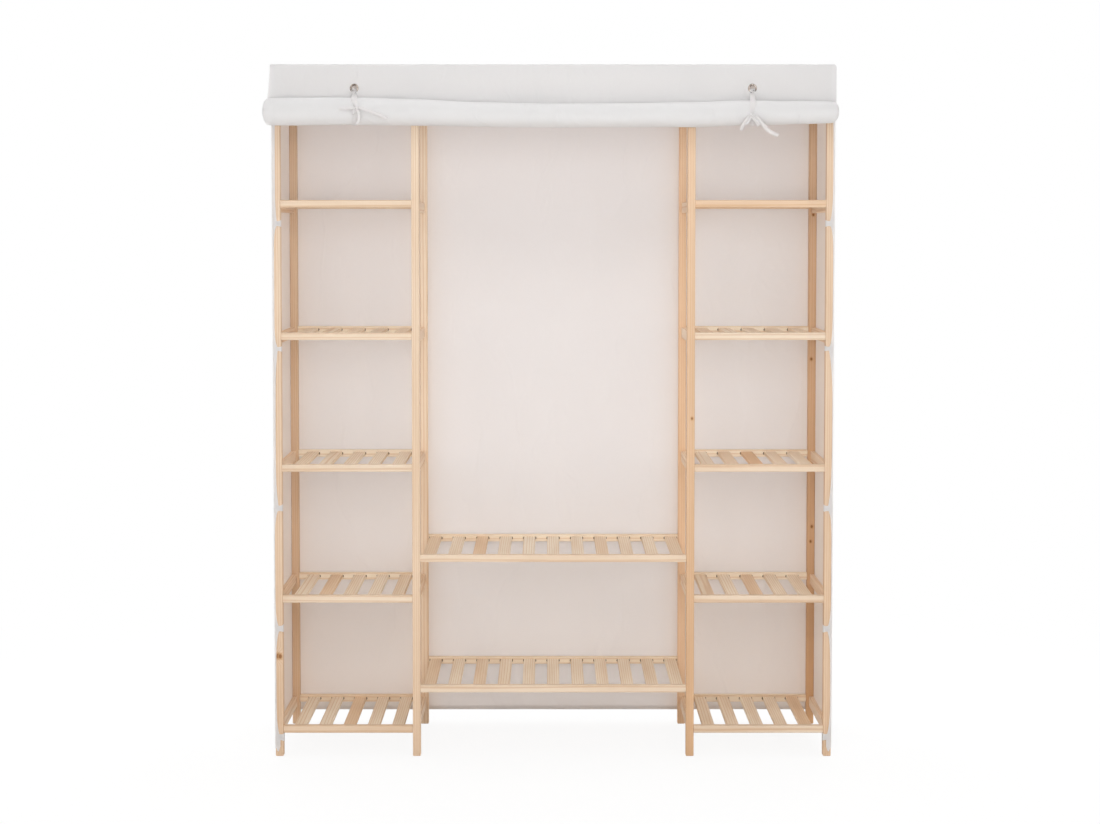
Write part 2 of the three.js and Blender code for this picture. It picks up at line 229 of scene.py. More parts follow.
def mixColour(tree, share, first, second, blend="MIX"):
    mix = addNode(tree, "ShaderNodeMix", data_type="RGBA", blend_type=blend)
    given = {"Factor_Float": share, "A_Color": first, "B_Color": second}
    for socket in mix.inputs:
        if socket.identifier in given:
            feed(tree, socket, given[socket.identifier])
    return next(socket for socket in mix.outputs if socket.identifier == "Result_Color")


def fillRamp(ramp, stops):
    points = ramp.color_ramp.elements
    while len(points) < len(stops):
        points.new(0.5)
    for point, (place, colour) in zip(points, stops):
        point.position = place
        point.color = colour


def newMaterial(name, roughness):
    material = bpy.data.materials.new(name)
    material.use_nodes = True
    tree = material.node_tree
    shader = tree.nodes["Principled BSDF"]
    shader.inputs["Roughness"].default_value = roughness
    return material, tree, shader, addNode(tree, "ShaderNodeTexCoord").outputs["Object"]


# Pine: growth rings, fibre and slow changes of tone along the grain
pine = {
    "light": tint(237, 221, 201),
    "middle": tint(222, 194, 163),
    "dark": tint(198, 158, 119),
    "honey": tint(216, 170, 126),  # what a piece's tone leans to
    "ringStretch": (1, 1, 0.07),  # along the grain last, as in the next two
    "slowStretch": (26, 26, 2.2),
    "fibreStretch": (1500, 1500, 26),
    "ringScale": 58,
    "ringWarp": 2.6,
    "fibreShare": 0.16,
    "knot": tint(150, 102, 62),
    "knotRim": tint(196, 150, 104),
    "knotStretch": (1, 0.35, 0.75),
    "roughness": 0.58,
    # painted light: the rungs are made paler, for the light they get less inside the frame
    "rungPaintedLight": 1.17,
}


def buildPineGrain():
    tree = bpy.data.node_groups.new("pineGrain", "ShaderNodeTree")
    sockets = (("Along", "INPUT", "NodeSocketVector"), ("Tone", "INPUT", "NodeSocketFloat"),
               ("Swirl", "INPUT", "NodeSocketFloat"), ("Colour", "OUTPUT", "NodeSocketColor"),
               ("Height", "OUTPUT", "NodeSocketFloat"))
    for name, way, kind in sockets:
        tree.interface.new_socket(name, in_out=way, socket_type=kind)
    given = tree.nodes.new("NodeGroupInput").outputs
    bend = addNode(tree, "ShaderNodeCombineXYZ", {"X": given["Swirl"], "Y": given["Swirl"]}).outputs[0]
    shifted = calculateVector(tree, "ADD", given["Along"], bend)
    drawn = calculateVector(tree, "MULTIPLY", shifted, pine["ringStretch"])
    rings = addNode(tree, "ShaderNodeTexWave",
                    {"Vector": drawn, "Scale": pine["ringScale"], "Distortion": pine["ringWarp"],
                     "Detail": 2, "Detail Scale": 0.6},
                    wave_type="RINGS", rings_direction="Z").outputs["Fac"]
    ramp = addNode(tree, "ShaderNodeValToRGB", {"Fac": rings})
    fillRamp(ramp, [(0.0, pine["light"]), (0.62, pine["light"]), (0.88, pine["middle"]),
                    (1.0, pine["dark"])])
    wide = calculateVector(tree, "MULTIPLY", given["Along"], pine["slowStretch"])
    slow = addNoise(tree, wide, 1.0, 2)
    thin = calculateVector(tree, "MULTIPLY", given["Along"], pine["fibreStretch"])
    fibre = addNoise(tree, thin, 1.0, 2)
    softened = mixColour(tree, 0.45, ramp.outputs["Color"], pine["light"])
    toned = mixColour(tree, given["Tone"], softened, pine["honey"])
    varied = mixColour(tree, remap(tree, slow, (0.35, 0.75), (0.0, 0.4)), toned, pine["dark"])
    lined = mixColour(tree, remap(tree, fibre, (0.4, 0.75), (0.0, pine["fibreShare"])), varied, pine["dark"])
    height = calculate(tree, "ADD", rings, fibre)
    addNode(tree, "NodeGroupOutput", {"Colour": lined, "Height": height})
    return tree


pineGrain = buildPineGrain()
grainTurns = {"X": (0, -math.pi / 2, 0), "Y": (math.pi / 2, 0, 0), "Z": (0, 0, 0)}


def grainOf(tree, coords, axis, centre, chance, tone, swirl=0.0, offset=None):
    # the grain group with its own heart, well outside the piece
    heart = Vector((chance.uniform(0.05, 0.11), chance.uniform(-0.05, 0.05), chance.uniform(0, 3)))
    turn = grainTurns[axis]
    local = Vector(centre)
    local.rotate(Matrix.Rotation(turn[0], 3, "X") @ Matrix.Rotation(turn[1], 3, "Y"))
    along = addNode(tree, "ShaderNodeMapping",
                    {"Vector": coords, "Rotation": turn, "Location": heart - local}).outputs[0]
    if offset is not None:
        along = calculateVector(tree, "ADD", along, offset)
    return addNode(tree, "ShaderNodeGroup", {"Along": along, "Tone": tone, "Swirl": swirl},
                   node_tree=pineGrain)


def sandWood(tree, shader, colour, height):
    tree.links.new(colour, shader.inputs["Base Color"])
    tree.links.new(addBump(tree, height, 0.35, 0.00012), shader.inputs["Normal"])
    shader.inputs["Specular IOR Level"].default_value = 0.32


# How honey-coloured each post is, at its top and at its foot
postTones = {
    "post_left_outer_front": (0.14, 0.42),
    "post_left_inner_front": (0.0, 0.42),
    "post_right_inner_front": (0.46, 0.84),
    "post_right_outer_front": (0.14, 0.48),
    "post_left_inner_rear": (0.0, 0.2),
    "post_right_inner_rear": (0.55, 0.6),
    "post_left_outer_rear": (0.34, 0.64),
    "post_right_outer_rear": (0.5, 1.0),
}

# The rear inner posts made paler, and by how much: painted light for the front light their faces get less
postPaintedLight = {"post_left_inner_rear": 1.16, "post_right_inner_rear": 1.22}

# Knots of the posts: height and radius in metres, and place across the face as a share of it
postKnots = {
    "post_left_outer_front": [(0.2475, 0.0052, -0.25), (0.2465, 0.0046, 0.3)],
    "post_right_outer_rear": [(1.327, 0.003, 0.1), (0.954, 0.0032, -0.2), (0.518, 0.0034, 0.2),
                              (0.479, 0.003, -0.1)],
    "post_right_inner_front": [(0.83, 0.0028, 0.3)],
}


def knotReach(tree, coords, low, high, knot):
    # how far each point is from the knot's heart
    height, radius, across = knot
    spot = (between((low.x + high.x) / 2, high.x, across), low.y, height)
    away = calculateVector(tree, "SUBTRACT", coords, spot)
    flat = calculateVector(tree, "MULTIPLY", away, pine["knotStretch"])
    return calculateVector(tree, "LENGTH", flat), radius


def pineMaterial(node, axis, tone, paintedLightGain=1.0):
    # the tone is one number, or a pair for the top and the foot
    low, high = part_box(node)
    chance = random.Random(node)
    material, tree, shader, coords = newMaterial("pine_" + node, pine["roughness"])
    if isinstance(tone, tuple):
        up = addNode(tree, "ShaderNodeSeparateXYZ", {0: coords}).outputs["Z"]
        tone = remap(tree, up, (0.0, postTop), (tone[1], tone[0]))
    else:
        tone = max(0, tone + chance.uniform(-0.12, 0.12))
    knots = [knotReach(tree, coords, low, high, knot) for knot in postKnots.get(node, [])]
    swirl = 0.0
    for reach, radius in knots:
        near = remap(tree, reach, (0.0, radius * 4), (radius * 1.1, 0.0), "SMOOTHSTEP")
        swirl = calculate(tree, "ADD", swirl, near)
    grain = grainOf(tree, coords, axis, (low + high) / 2, chance, tone, swirl)
    colour = grain.outputs["Colour"]
    for reach, radius in knots:
        for part, start, end, share in (("knotRim", 0.9, 1.9, 0.75), ("knot", 0.65, 1, 1.0)):
            ring = remap(tree, reach, (radius * start, radius * end), (share, 0.0), "SMOOTHSTEP")
            colour = mixColour(tree, ring, colour, pine[part])
    # painted light: the piece's colour is multiplied paler by the gain
    if paintedLightGain != 1.0:
        colour = mixColour(tree, 1.0, colour, (paintedLightGain, paintedLightGain, paintedLightGain, 1), blend="MULTIPLY")
    sandWood(tree, shader, colour, grain.outputs["Height"])
    return material


# A slatted shelf: rails along X, slats along Y, each slat with its own tone
slatted = {
    "pitches": {"shelf": 0.06, "bay_shelf": 0.061, "top_frame": 0.12},  # by the start of the shelf's name
    "railWidth": 0.018,
    "railTone": 0.12,
    "railTones": {"shelf_left_1": 0.36, "shelf_left_3": 0.0, "shelf_right_4": 0.04, "shelf_right_5": 0.5},
    "slatTone": 0.12,
    "warmSlats": 0.7,  # how much warmer the few warmest slats are
    "slatPaintedLight": (1.17, 1.24, 1.28, 1),  # painted light: slats and rear rails are made paler than the front rails, for the light that reaches them less
    "slatWidth": 0.03,
    "slatThickness": 0.009,
    "slatMiddle": 0.009,  # below the top of the rails
    "mortiseRoom": 0.0026,  # beside a slat
    "mortiseDepth": 0.009,
    # painted shade: the colour of the shadowed gaps in the mortises
    "mortiseShade": tint(104, 70, 46),
    "slack": 0.0001,  # the shade goes this far past the mortise's edges
}


def shadeMortises(tree, colour, pitch, cell, reach, edge, height, top):
    # painted shade in the open ends of each mortise, beside the slat that sits in it
    room, depth, slack = slatted["mortiseRoom"], slatted["mortiseDepth"], slatted["slack"]
    offSlat = calculate(tree, "SUBTRACT", calculate(tree, "FRACT", cell), 0.5)
    across = calculate(tree, "ABSOLUTE", offSlat)
    beside = calculate(tree, "COMPARE", across, (slatted["slatWidth"] + room) / 2 / pitch,
                       (room / 2 + slack * 2) / pitch)
    within = calculate(tree, "COMPARE", reach, edge + depth / 2 + slack * 4, depth / 2 + slack)
    level = calculate(tree, "COMPARE", height, top - slatted["slatMiddle"],
                      slatted["slatThickness"] / 2 + slack)
    paintedMortiseShade = calculate(tree, "MULTIPLY", calculate(tree, "MULTIPLY", beside, within), level)
    return mixColour(tree, paintedMortiseShade, colour, slatted["mortiseShade"])


def slattedMaterial(node, pitch):
    low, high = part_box(node)
    centre = (low + high) / 2
    chance = random.Random(node)
    material, tree, shader, coords = newMaterial("pine_" + node, pine["roughness"])
    parts = addNode(tree, "ShaderNodeSeparateXYZ", {0: coords}).outputs
    fromMiddle = calculate(tree, "SUBTRACT", parts["X"], centre.x - pitch / 2)
    cell = calculate(tree, "DIVIDE", fromMiddle, pitch)
    seeded = calculate(tree, "ADD", calculate(tree, "FLOOR", cell), chance.uniform(3, 90))
    lot = addNode(tree, "ShaderNodeTexWhiteNoise", {"W": seeded}, noise_dimensions="1D").outputs
    rare = calculate(tree, "POWER", lot["Value"], 3.5)
    tones = (slatted["slatTone"] - 0.08, slatted["slatTone"] + slatted["warmSlats"])
    shift = calculateVector(tree, "MULTIPLY", lot["Color"], (0.03, 0.03, 2.0))
    slat = grainOf(tree, coords, "Y", centre, chance, remap(tree, rare, (0, 1), tones), offset=shift)
    railTone = slatted["railTones"].get(node, slatted["railTone"] + chance.uniform(-0.04, 0.06))
    rail = grainOf(tree, coords, "X", centre, chance, railTone)
    offMiddle = calculate(tree, "SUBTRACT", parts["Y"], centre.y)
    reach = calculate(tree, "ABSOLUTE", offMiddle)
    edge = (high.y - low.y) / 2 - slatted["railWidth"]
    onRail = calculate(tree, "GREATER_THAN", reach, edge)
    colour = mixColour(tree, onRail, slat.outputs["Colour"], rail.outputs["Colour"])
    # painted light: the slats and the rear rail are multiplied paler than the front rail
    behind = calculate(tree, "GREATER_THAN", offMiddle, -edge)
    colour = mixColour(tree, behind, colour, slatted["slatPaintedLight"], blend="MULTIPLY")
    colour = shadeMortises(tree, colour, pitch, cell, reach, edge, parts["Z"], high.z)
    sandWood(tree, shader, colour, slat.outputs["Height"])
    return material


def finishWood():
    for name, node in frame["nodes"].items():
        pitch = next((step for start, step in slatted["pitches"].items() if name.startswith(start)), None)
        if pitch:
            material = slattedMaterial(name, pitch)
        elif name in postTones:
            material = pineMaterial(name, "Z", postTones[name], postPaintedLight.get(name, 1.0))
        elif name.startswith(("rung_", "top_rung", "rail_carrier")):
            material = pineMaterial(name, "Y", 0.22, pine["rungPaintedLight"])
        elif name.startswith(("top_rail", "hanging_rail")):
            material = pineMaterial(name, "X", 0.15)
        else:
            continue
        paint(node, material)


finishWood()
print("pine finished")


# Nonwoven cloth: fine embossed dots, cloudy fibre, soft dents
cloth = {
    "outside": tint(235, 234, 234),
    # painted light: the inner side is a paler copy of the outside cloth, for the lamp light it gets less
    "inside": tint(241, 238, 238),
    "paintedBounceColour": tint(240, 219, 197),  # painted light: warm shade and light bounced from the pine onto the cloth near it
    "tape": tint(236, 234, 234),
    "through": tint(243, 240, 239),
    "thin": 0.34,  # share of the light that goes through
    "rollThin": 0.2,  # many layers let little through
    "cloud": 0.05,
    "insideCloud": 0.08,
    "cloudShade": 0.72,
    "dotScale": 620,
    "roughness": 0.88,
}


def clothMaterial(name, colour, cloud, thin=cloth["thin"], paintedBounceAttribute=None):
    material, tree, shader, coords = newMaterial(name, cloth["roughness"])
    fibre = addNoise(tree, coords, 170, 5, roughness=0.65)
    broad = addNoise(tree, coords, 5.5, 3)
    share = remap(tree, calculate(tree, "ADD", fibre, broad), (0.7, 1.3), (0.0, cloud))
    shade = tuple(part * cloth["cloudShade"] for part in colour[:3]) + (1,)
    clouded = mixColour(tree, share, colour, shade)
    # painted light: the cloth is tinted with the pine's bounced light by each point's share
    if paintedBounceAttribute:
        near = addNode(tree, "ShaderNodeAttribute", attribute_name=paintedBounceAttribute)
        clouded = mixColour(tree, near.outputs["Fac"], clouded, cloth["paintedBounceColour"])
    tree.links.new(clouded, shader.inputs["Base Color"])
    dots = addNode(tree, "ShaderNodeTexVoronoi",
                   {"Vector": coords, "Scale": cloth["dotScale"], "Randomness": 0.35})
    weave = addBump(tree, remap(tree, dots.outputs["Distance"], (0.15, 0.45)), 0.25, 0.0002)
    soft = addBump(tree, addNoise(tree, coords, 16, 2), 0.3, 0.0025, weave)
    # long soft creases, left from folding
    drawn = calculateVector(tree, "MULTIPLY", coords, (3.4, 3.4, 1.5))
    fold = addNoise(tree, drawn, 1.7, 3, distortion=0.6)
    apart = calculate(tree, "ABSOLUTE", calculate(tree, "SUBTRACT", fold, 0.5))
    ridge = remap(tree, apart, (0.0, 0.035), (1.0, 0.0), "SMOOTHERSTEP")
    tree.links.new(addBump(tree, ridge, 0.45, 0.0016, soft), shader.inputs["Normal"])
    shader.inputs["Sheen Weight"].default_value = 0.12
    shader.inputs["Specular IOR Level"].default_value = 0.2
    # the cloth is thin: it lets part of the light through
    glow = addNode(tree, "ShaderNodeBsdfTranslucent", {"Color": cloth["through"]})
    mix = addNode(tree, "ShaderNodeMixShader", {0: thin, 1: shader.outputs[0], 2: glow.outputs[0]})
    tree.links.new(mix.outputs[0], tree.nodes["Material Output"].inputs["Surface"])
    return material


clothOutside = clothMaterial("clothOutside", cloth["outside"], cloth["cloud"])
clothInsidePaintedLight = clothMaterial("clothInsidePaintedLight", cloth["inside"], cloth["insideCloud"])
clothWithPaintedBounce = clothMaterial("clothWithPaintedBounce", cloth["inside"], cloth["insideCloud"], paintedBounceAttribute="paintedBounceShare")
tapeCloth = clothMaterial("tapeCloth", cloth["tape"], cloth["cloud"])
rollCloth = clothMaterial("rollCloth", cloth["outside"], cloth["cloud"], thin=cloth["rollThin"])


# A row of stitches along a line of points, each stitch a small rounded bar
stitch = {
    "length": 0.0028,
    "pitch": 0.0043,
    "width": 0.0006,
    "height": 0.0004,
    "off": 0.6,  # from the middle of the sheet, in thicknesses of it
}


def makeStitch():
    clearSelection()
    bpy.ops.mesh.primitive_cube_add(size=1)
    bar = bpy.context.object
    bar.scale = (stitch["length"], stitch["width"], stitch["height"])
    bpy.ops.object.transform_apply(scale=True)
    bpy.ops.object.mode_set(mode="EDIT")
    shape = bmesh.from_edit_mesh(bar.data)
    for face in shape.faces:
        face.select = abs(face.normal.x) > 0.9
    bmesh.update_edit_mesh(bar.data)
    bpy.ops.transform.resize(value=(1, 0.5, 0.5))
    bpy.ops.object.mode_set(mode="OBJECT")
    return bar


def sewRows(name, rows):
    # each row is (points, facing); the stitches lie on the points, flat to the facing
    bar = makeStitch()
    corners = [vertex.co.copy() for vertex in bar.data.vertices]
    quads = [tuple(face.vertices) for face in bar.data.polygons]
    places, faces = [], []
    for points, facing in rows:
        facing = Vector(facing).normalized()
        for start, end in zip(points, points[1:]):
            count = max(1, int((end - start).length / stitch["pitch"]))
            along = (end - start).normalized()
            turn = Matrix((along, facing.cross(along), facing)).transposed()
            for number in range(count):
                middle = between(start, end, (number + 0.5) / count)
                first = len(places)
                places += [middle + turn @ corner for corner in corners]
                faces += [tuple(first + index for index in quad) for quad in quads]
    bpy.data.objects.remove(bar)
    mesh = bpy.data.meshes.new(name)
    mesh.from_pydata(places, [], faces)
    thread = bpy.data.objects.new(name, mesh)
    bpy.context.scene.collection.objects.link(thread)
    paint(thread, tapeCloth)
    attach(thread, "root")
    return thread


def markPaintedBounce(sheet, nearness):
    # writes how much painted bounce light from the wood each point takes, 0 to 1, for the cloth's material
    marks = sheet.data.attributes.new("paintedBounceShare", "FLOAT", "POINT")
    for vertex, mark in zip(sheet.data.vertices, marks.data):
        mark.value = min(1, max(0, nearness(vertex.co)))


# Back panel of the cover: it bellies out between the posts and ends in a turned hem
backPanel = {
    "thickness": 0.001,
    "belly": 0.0042,
    "waves": 0.0022,
    "creases": 0.0009,
    "hem": 0.010,
    "hemGap": 0.0003,  # inside the turned hem
    "hemStitch": 0.003,  # below the hem's upper edge
    "inset": 0.0006,  # from the cover's sides
    "columns": 150,
    "rows": 150,
}
backLow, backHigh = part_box("cover_back")
postEdges = sorted([-frameHalf, -innerFace, *innerPostX[0], *innerPostX[1], innerFace, frameHalf])


def spanShare(x):
    # 0 on a post, rising to 1 halfway between two posts
    for start, end in zip(postEdges[1::2], postEdges[2::2]):
        if start < x < end:
            return math.sin(math.pi * (x - start) / (end - start)) ** 0.8
    return 0.0


def backBelly(x, z):
    share = spanShare(x)
    up = math.sin(math.pi * min(1, max(0, (z - backLow.z) / (backHigh.z - backLow.z)))) ** 0.35
    wave = ripple(x * 3.1, z * 1.3, 4.2) + 0.5 * ripple(x * 9 + z * 2, z * 2.4, 9.1)
    fold = crease(x * 2.3 + z * 0.9, z * 1.1, 2.7) + 0.7 * crease(x * 5.5 - z * 1.7, z * 1.9, 6.3)
    out = backPanel["belly"] * up + backPanel["waves"] * wave + backPanel["creases"] * fold
    return max(0, out) * share


def backPlace(x, row):
    offset, z = row
    y = rearFace + clearance + backPanel["thickness"] / 2 + offset + backBelly(x, z)
    return Vector((x, y, z))


def backRows():
    turn = backPanel["thickness"] + backPanel["hemGap"]
    hemTop = backLow.z + backPanel["hem"]
    rows = [(turn, z) for z in steps(hemTop, backLow.z + turn, 4)]
    rows += [(turn * (0.5 + 0.5 * math.cos(angle)), backLow.z + turn * (1 - math.sin(angle)))
             for angle in steps(0.5, math.pi - 0.5, 4)]
    return rows + [(0, z) for z in steps(backLow.z + turn, backHigh.z, backPanel["rows"])]


# How much painted warm bounce light from the pine the cloth takes: beside the posts, in the towers and
# towards the foot
paintedWarmth = {
    "tower": 0.04,
    "foot": 0.34,
    "footHeight": 0.8,
    "bayShare": 0.35,  # of what a tower gives
    "post": 0.34,
    "postReach": 0.028,
    "side": 0.56,
    "sideFoot": 0.2,
}


def footShare(point):
    return ease((paintedWarmth["footHeight"] - point.z) / paintedWarmth["footHeight"])


def backPaintedBounce(point):
    toPost = min(abs(abs(point.x) - edge) for edge in postEdges[4:])
    inTower = 1.0 if abs(point.x) > postEdges[5] else paintedWarmth["bayShare"]
    wide = inTower * (paintedWarmth["tower"] + paintedWarmth["foot"] * footShare(point))
    return wide + paintedWarmth["post"] * math.exp(-toPost / paintedWarmth["postReach"])


def sidePaintedBounce(point):
    return paintedWarmth["side"] + paintedWarmth["sideFoot"] * footShare(point)


def makeBack():
    half = coverHalf - backPanel["inset"]
    sheet = makeSheet("coverBack", steps(half, -half, backPanel["columns"]), backRows(), backPlace,
                      backPanel["thickness"], (clothOutside, clothWithPaintedBounce), angle=40)
    markPaintedBounce(sheet, backPaintedBounce)
    hemLine = backLow.z + backPanel["hem"] - backPanel["hemStitch"]
    outer = [backPlace(x, (backPanel["thickness"] * 2, hemLine)) for x in steps(-half, half, 60)]
    inner = [backPlace(x, (-backPanel["thickness"] * 0.55, hemLine)) for x in steps(-half, half, 60)]
    thread = sewRows("backStitches", [(outer, (0, 1, 0)), (inner, (0, -1, 0))])
    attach(sheet, "root")
    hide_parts("cover_back")


makeBack()
print("back panel made")


# Side panels: the sheet beside a tower, its corner, and the scalloped return over the front post
sidePanel = {
    "thickness": 0.001,
    "cornerRadius": 0.0022,
    "sway": 0.0058,  # in and out between the rungs
    "edgeWidths": {  # of the return between two straps, from the lowest section to the header
        "left": (0.0042, 0.0036, 0.0066, 0.0054, 0.0092),
        "right": (0.0046, 0.0036, 0.0038, 0.0044, 0.0052),
    },
    "shoulderWidth": 0.0135,
    "straps": (0.0475, 0.3148, 0.6105, 1.0, 1.303),  # heights of the straps
    "scallops": (5, 7, 4, 8, 5),  # how close to its straps each section draws in
    "frontGap": 0.0009,  # between the return and the post
    "topGap": 0.001,
    "lift": 0.0024,  # the free edge stands off the post between two straps
    "loose": 0.0006,  # unevenness of the free edge
    "hemFront": 0.0205,
    "hemRear": 0.033,
    "tongueRise": 0.004,  # of the return's lower end, at its free edge
    "tongueDrop": 0.0105,  # and halfway across
    "rearInset": 0.0008,  # from the back panel
    "hemSeam": 0.0056,  # up the sheet, as a share of its height
    "edgeSeam": 0.72,  # across the return, as a share of its width
    "columns": 46,
    "rows": 230,
}


def swayAt(y, z, seed):
    across = min(1, max(0, (y - postBack) / (rearPostFront - postBack)))
    pitch = rungLevels[1] - rungLevels[0]
    up = abs(math.sin(math.pi * (z - rungLevels[0]) / pitch)) ** 0.7
    wave = -0.35 + 1.1 * ripple(y * 4.5, z * 2.6, seed) + 0.35 * ripple(y * 14, z * 7, seed + 3)
    return sidePanel["sway"] * math.sin(math.pi * across) ** 0.6 * up * wave


def strapPull(z):
    # 1 at a strap, falling to 0 halfway to the next one
    stops = sidePanel["straps"]
    if z < stops[0]:
        return 1.0
    for low, high, power in zip(stops, (*stops[1:], headerLow.z), sidePanel["scallops"]):
        if z <= high:
            return abs(2 * (z - low) / (high - low) - 1) ** power
    return 1.0


def returnReach(side, z, seed):
    pull = strapPull(z)
    section = sum(z > stop for stop in sidePanel["straps"][1:])
    loose = sidePanel["loose"] * ripple(z * 5, 1, seed) * (1 - pull)
    return between(sidePanel["edgeWidths"][side][section], sidePanel["shoulderWidth"], pull) + loose


def makeSide(side, outward, seed):
    thickness = sidePanel["thickness"]
    wall = frameHalf + clearance + thickness / 2
    front = postFront - sidePanel["frontGap"] - thickness / 2
    radius = sidePanel["cornerRadius"]
    rise, drop = sidePanel["tongueRise"], sidePanel["tongueDrop"]
    top = postTop - sidePanel["topGap"]

    def place(column, up):
        kind, share = column
        if kind == "side":
            y = between(rearFace + sidePanel["rearInset"], front + radius, share)
            foot = between(sidePanel["hemRear"], sidePanel["hemFront"], share)
            z = between(foot, top, up)
            return Vector((outward * (wall + swayAt(y, z, seed)), y, z))
        # the return ends below in a rounded tongue
        tongue = rise * share - drop * math.sin(math.pi * share) if kind == "return" else 0
        z = between(sidePanel["hemFront"] + tongue, top, up)
        if kind == "corner":
            angle = share * math.pi / 2
            x = wall - radius + radius * math.cos(angle)
            return Vector((outward * x, front + radius - radius * math.sin(angle), z))
        x = between(wall - radius, coverHalf - returnReach(side, z, seed), share)
        lift = sidePanel["lift"] * (1 - strapPull(z)) * share ** 2
        return Vector((outward * x, front - lift, z))

    columns = [("side", share) for share in steps(0, 1, sidePanel["columns"])]
    columns += [("corner", share) for share in steps(0, 1, 4)[1:-1]]
    columns += [("return", share) for share in steps(0, 1, 7)]
    if outward > 0:
        columns.reverse()
    sheet = makeSheet(f"cover{side.capitalize()}", columns, steps(0, 1, sidePanel["rows"]), place,
                      thickness, (clothOutside, clothWithPaintedBounce), angle=40)
    markPaintedBounce(sheet, sidePaintedBounce)
    out = Vector((outward * thickness * stitch["off"], 0, 0))
    ahead = Vector((0, -thickness * stitch["off"], 0))
    hem = [place(("side", share), sidePanel["hemSeam"]) + out for share in steps(0.02, 0.98, 30)]
    edge = [place(("return", sidePanel["edgeSeam"]), up) + ahead for up in steps(0.03, 0.94, 160)]
    thread = sewRows(f"{side}Stitches", [(hem, (outward, 0, 0)), (edge, (0, -1, 0))])
    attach(sheet, "root")
    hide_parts(f"cover_{side}")


for side, seed in (("left", 3.3), ("right", 8.6)):
    makeSide(side, sides[side], seed)
print("side panels made")


# Straps that hold each side panel to its front post, from the lowest to the highest
strap = {
    "heights": (0.0185, 0.0175, 0.0165, 0.0125, 0.0155),
    "thickness": 0.0007,
    "gap": 0.00025,  # between a strap and the post
    "under": 0.007,
    "behind": 0.017,
    "radius": 0.0016,
    "waist": 0.22,  # share by which it narrows on the post's face
    "waistSteps": 10,  # over this many steps of its path
    "lift": 0.0006,  # of its end, beside the post
}


def makeStraps(side, outward):
    chance = random.Random("straps" + side)
    face = postFront - strap["gap"] - strap["thickness"] / 2
    inside = innerFace - strap["gap"] - strap["thickness"] / 2
    radius = strap["radius"]
    start = coverHalf - sidePanel["shoulderWidth"] + strap["under"]
    path = [(x, face) for x in steps(start, inside + radius, 8)]
    path += [(inside + radius - radius * math.sin(angle), face + radius - radius * math.cos(angle))
             for angle in steps(0, math.pi / 2, 4)[1:]]
    path += [(inside, y) for y in steps(face + radius, face + strap["behind"], 7)[1:]]
    for number, (middle, height) in enumerate(zip(sidePanel["straps"], strap["heights"])):
        lean = chance.uniform(-0.07, 0.07)
        wave = chance.uniform(0, 9)

        def place(index, up):
            x, y = path[index]
            narrow = 1 - strap["waist"] * math.sin(math.pi * min(1, index / strap["waistSteps"]))
            z = middle + up * height * narrow + lean * (start - x)
            lift = strap["lift"] * max(0, ripple(index * 0.4, up * 2, wave))
            return Vector((outward * (x - lift * (index >= strap["waistSteps"])), y, z))

        columns = list(range(len(path)))
        if outward < 0:
            columns.reverse()
        piece = makeSheet(f"{side}Strap{number + 1}", columns, steps(-0.5, 0.5, 6), place,
                          strap["thickness"], (tapeCloth,), angle=40)
        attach(piece, "root")


for side, outward in sides.items():
    makeStraps(side, outward)
print("straps made")


# Roof of the cover: it sags between the rails and turns down at the sides and the back
roof = {
    "thickness": 0.001,
    "sag": 0.0024,
    "waves": 0.0007,
    "lip": 0.005,
    "rearRadius": 0.0055,
    "sideRadii": {-1: 0.0034, 1: 0.0068},
    "cornerDraw": 0.35,  # how far the rear corners draw in
    "cornerLimit": 0.45,  # and at most, as a share of the rear radius
    "grain": 0.0003,  # small unevenness of the cloth
    "seamAt": 0.55,  # down the lip, as a share of it
    "seamInset": 0.008,  # from the rear corners
    "columns": 130,
    "rows": 52,
    "belowTop": 0.0015,  # the header's upper edge lies on it
}
roofTop = coverTop - roof["belowTop"]


def roofSag(x, y):
    across = 0
    for start, end in zip(postEdges[1::2], postEdges[2::2]):
        if start < x < end:
            share = (x - start) / (end - start)
            across = 4 * share * (1 - share)
    deep = min(1, max(0, (y - postFront) / (rearFace - postFront)))
    return across * math.sin(math.pi * deep) ** 0.5


def edgeTurn(edge, way, turnTop, lip, radius):
    # a lip, then the curve up to the flat; way points from the edge to the flat
    rows = [(edge, turnTop - radius - lip), (edge, turnTop - radius - lip / 2)]
    for angle in steps(0, math.pi / 2, 5):
        inward = radius - radius * math.cos(angle)
        rows.append((edge + way * inward, turnTop - radius + radius * math.sin(angle)))
    return rows


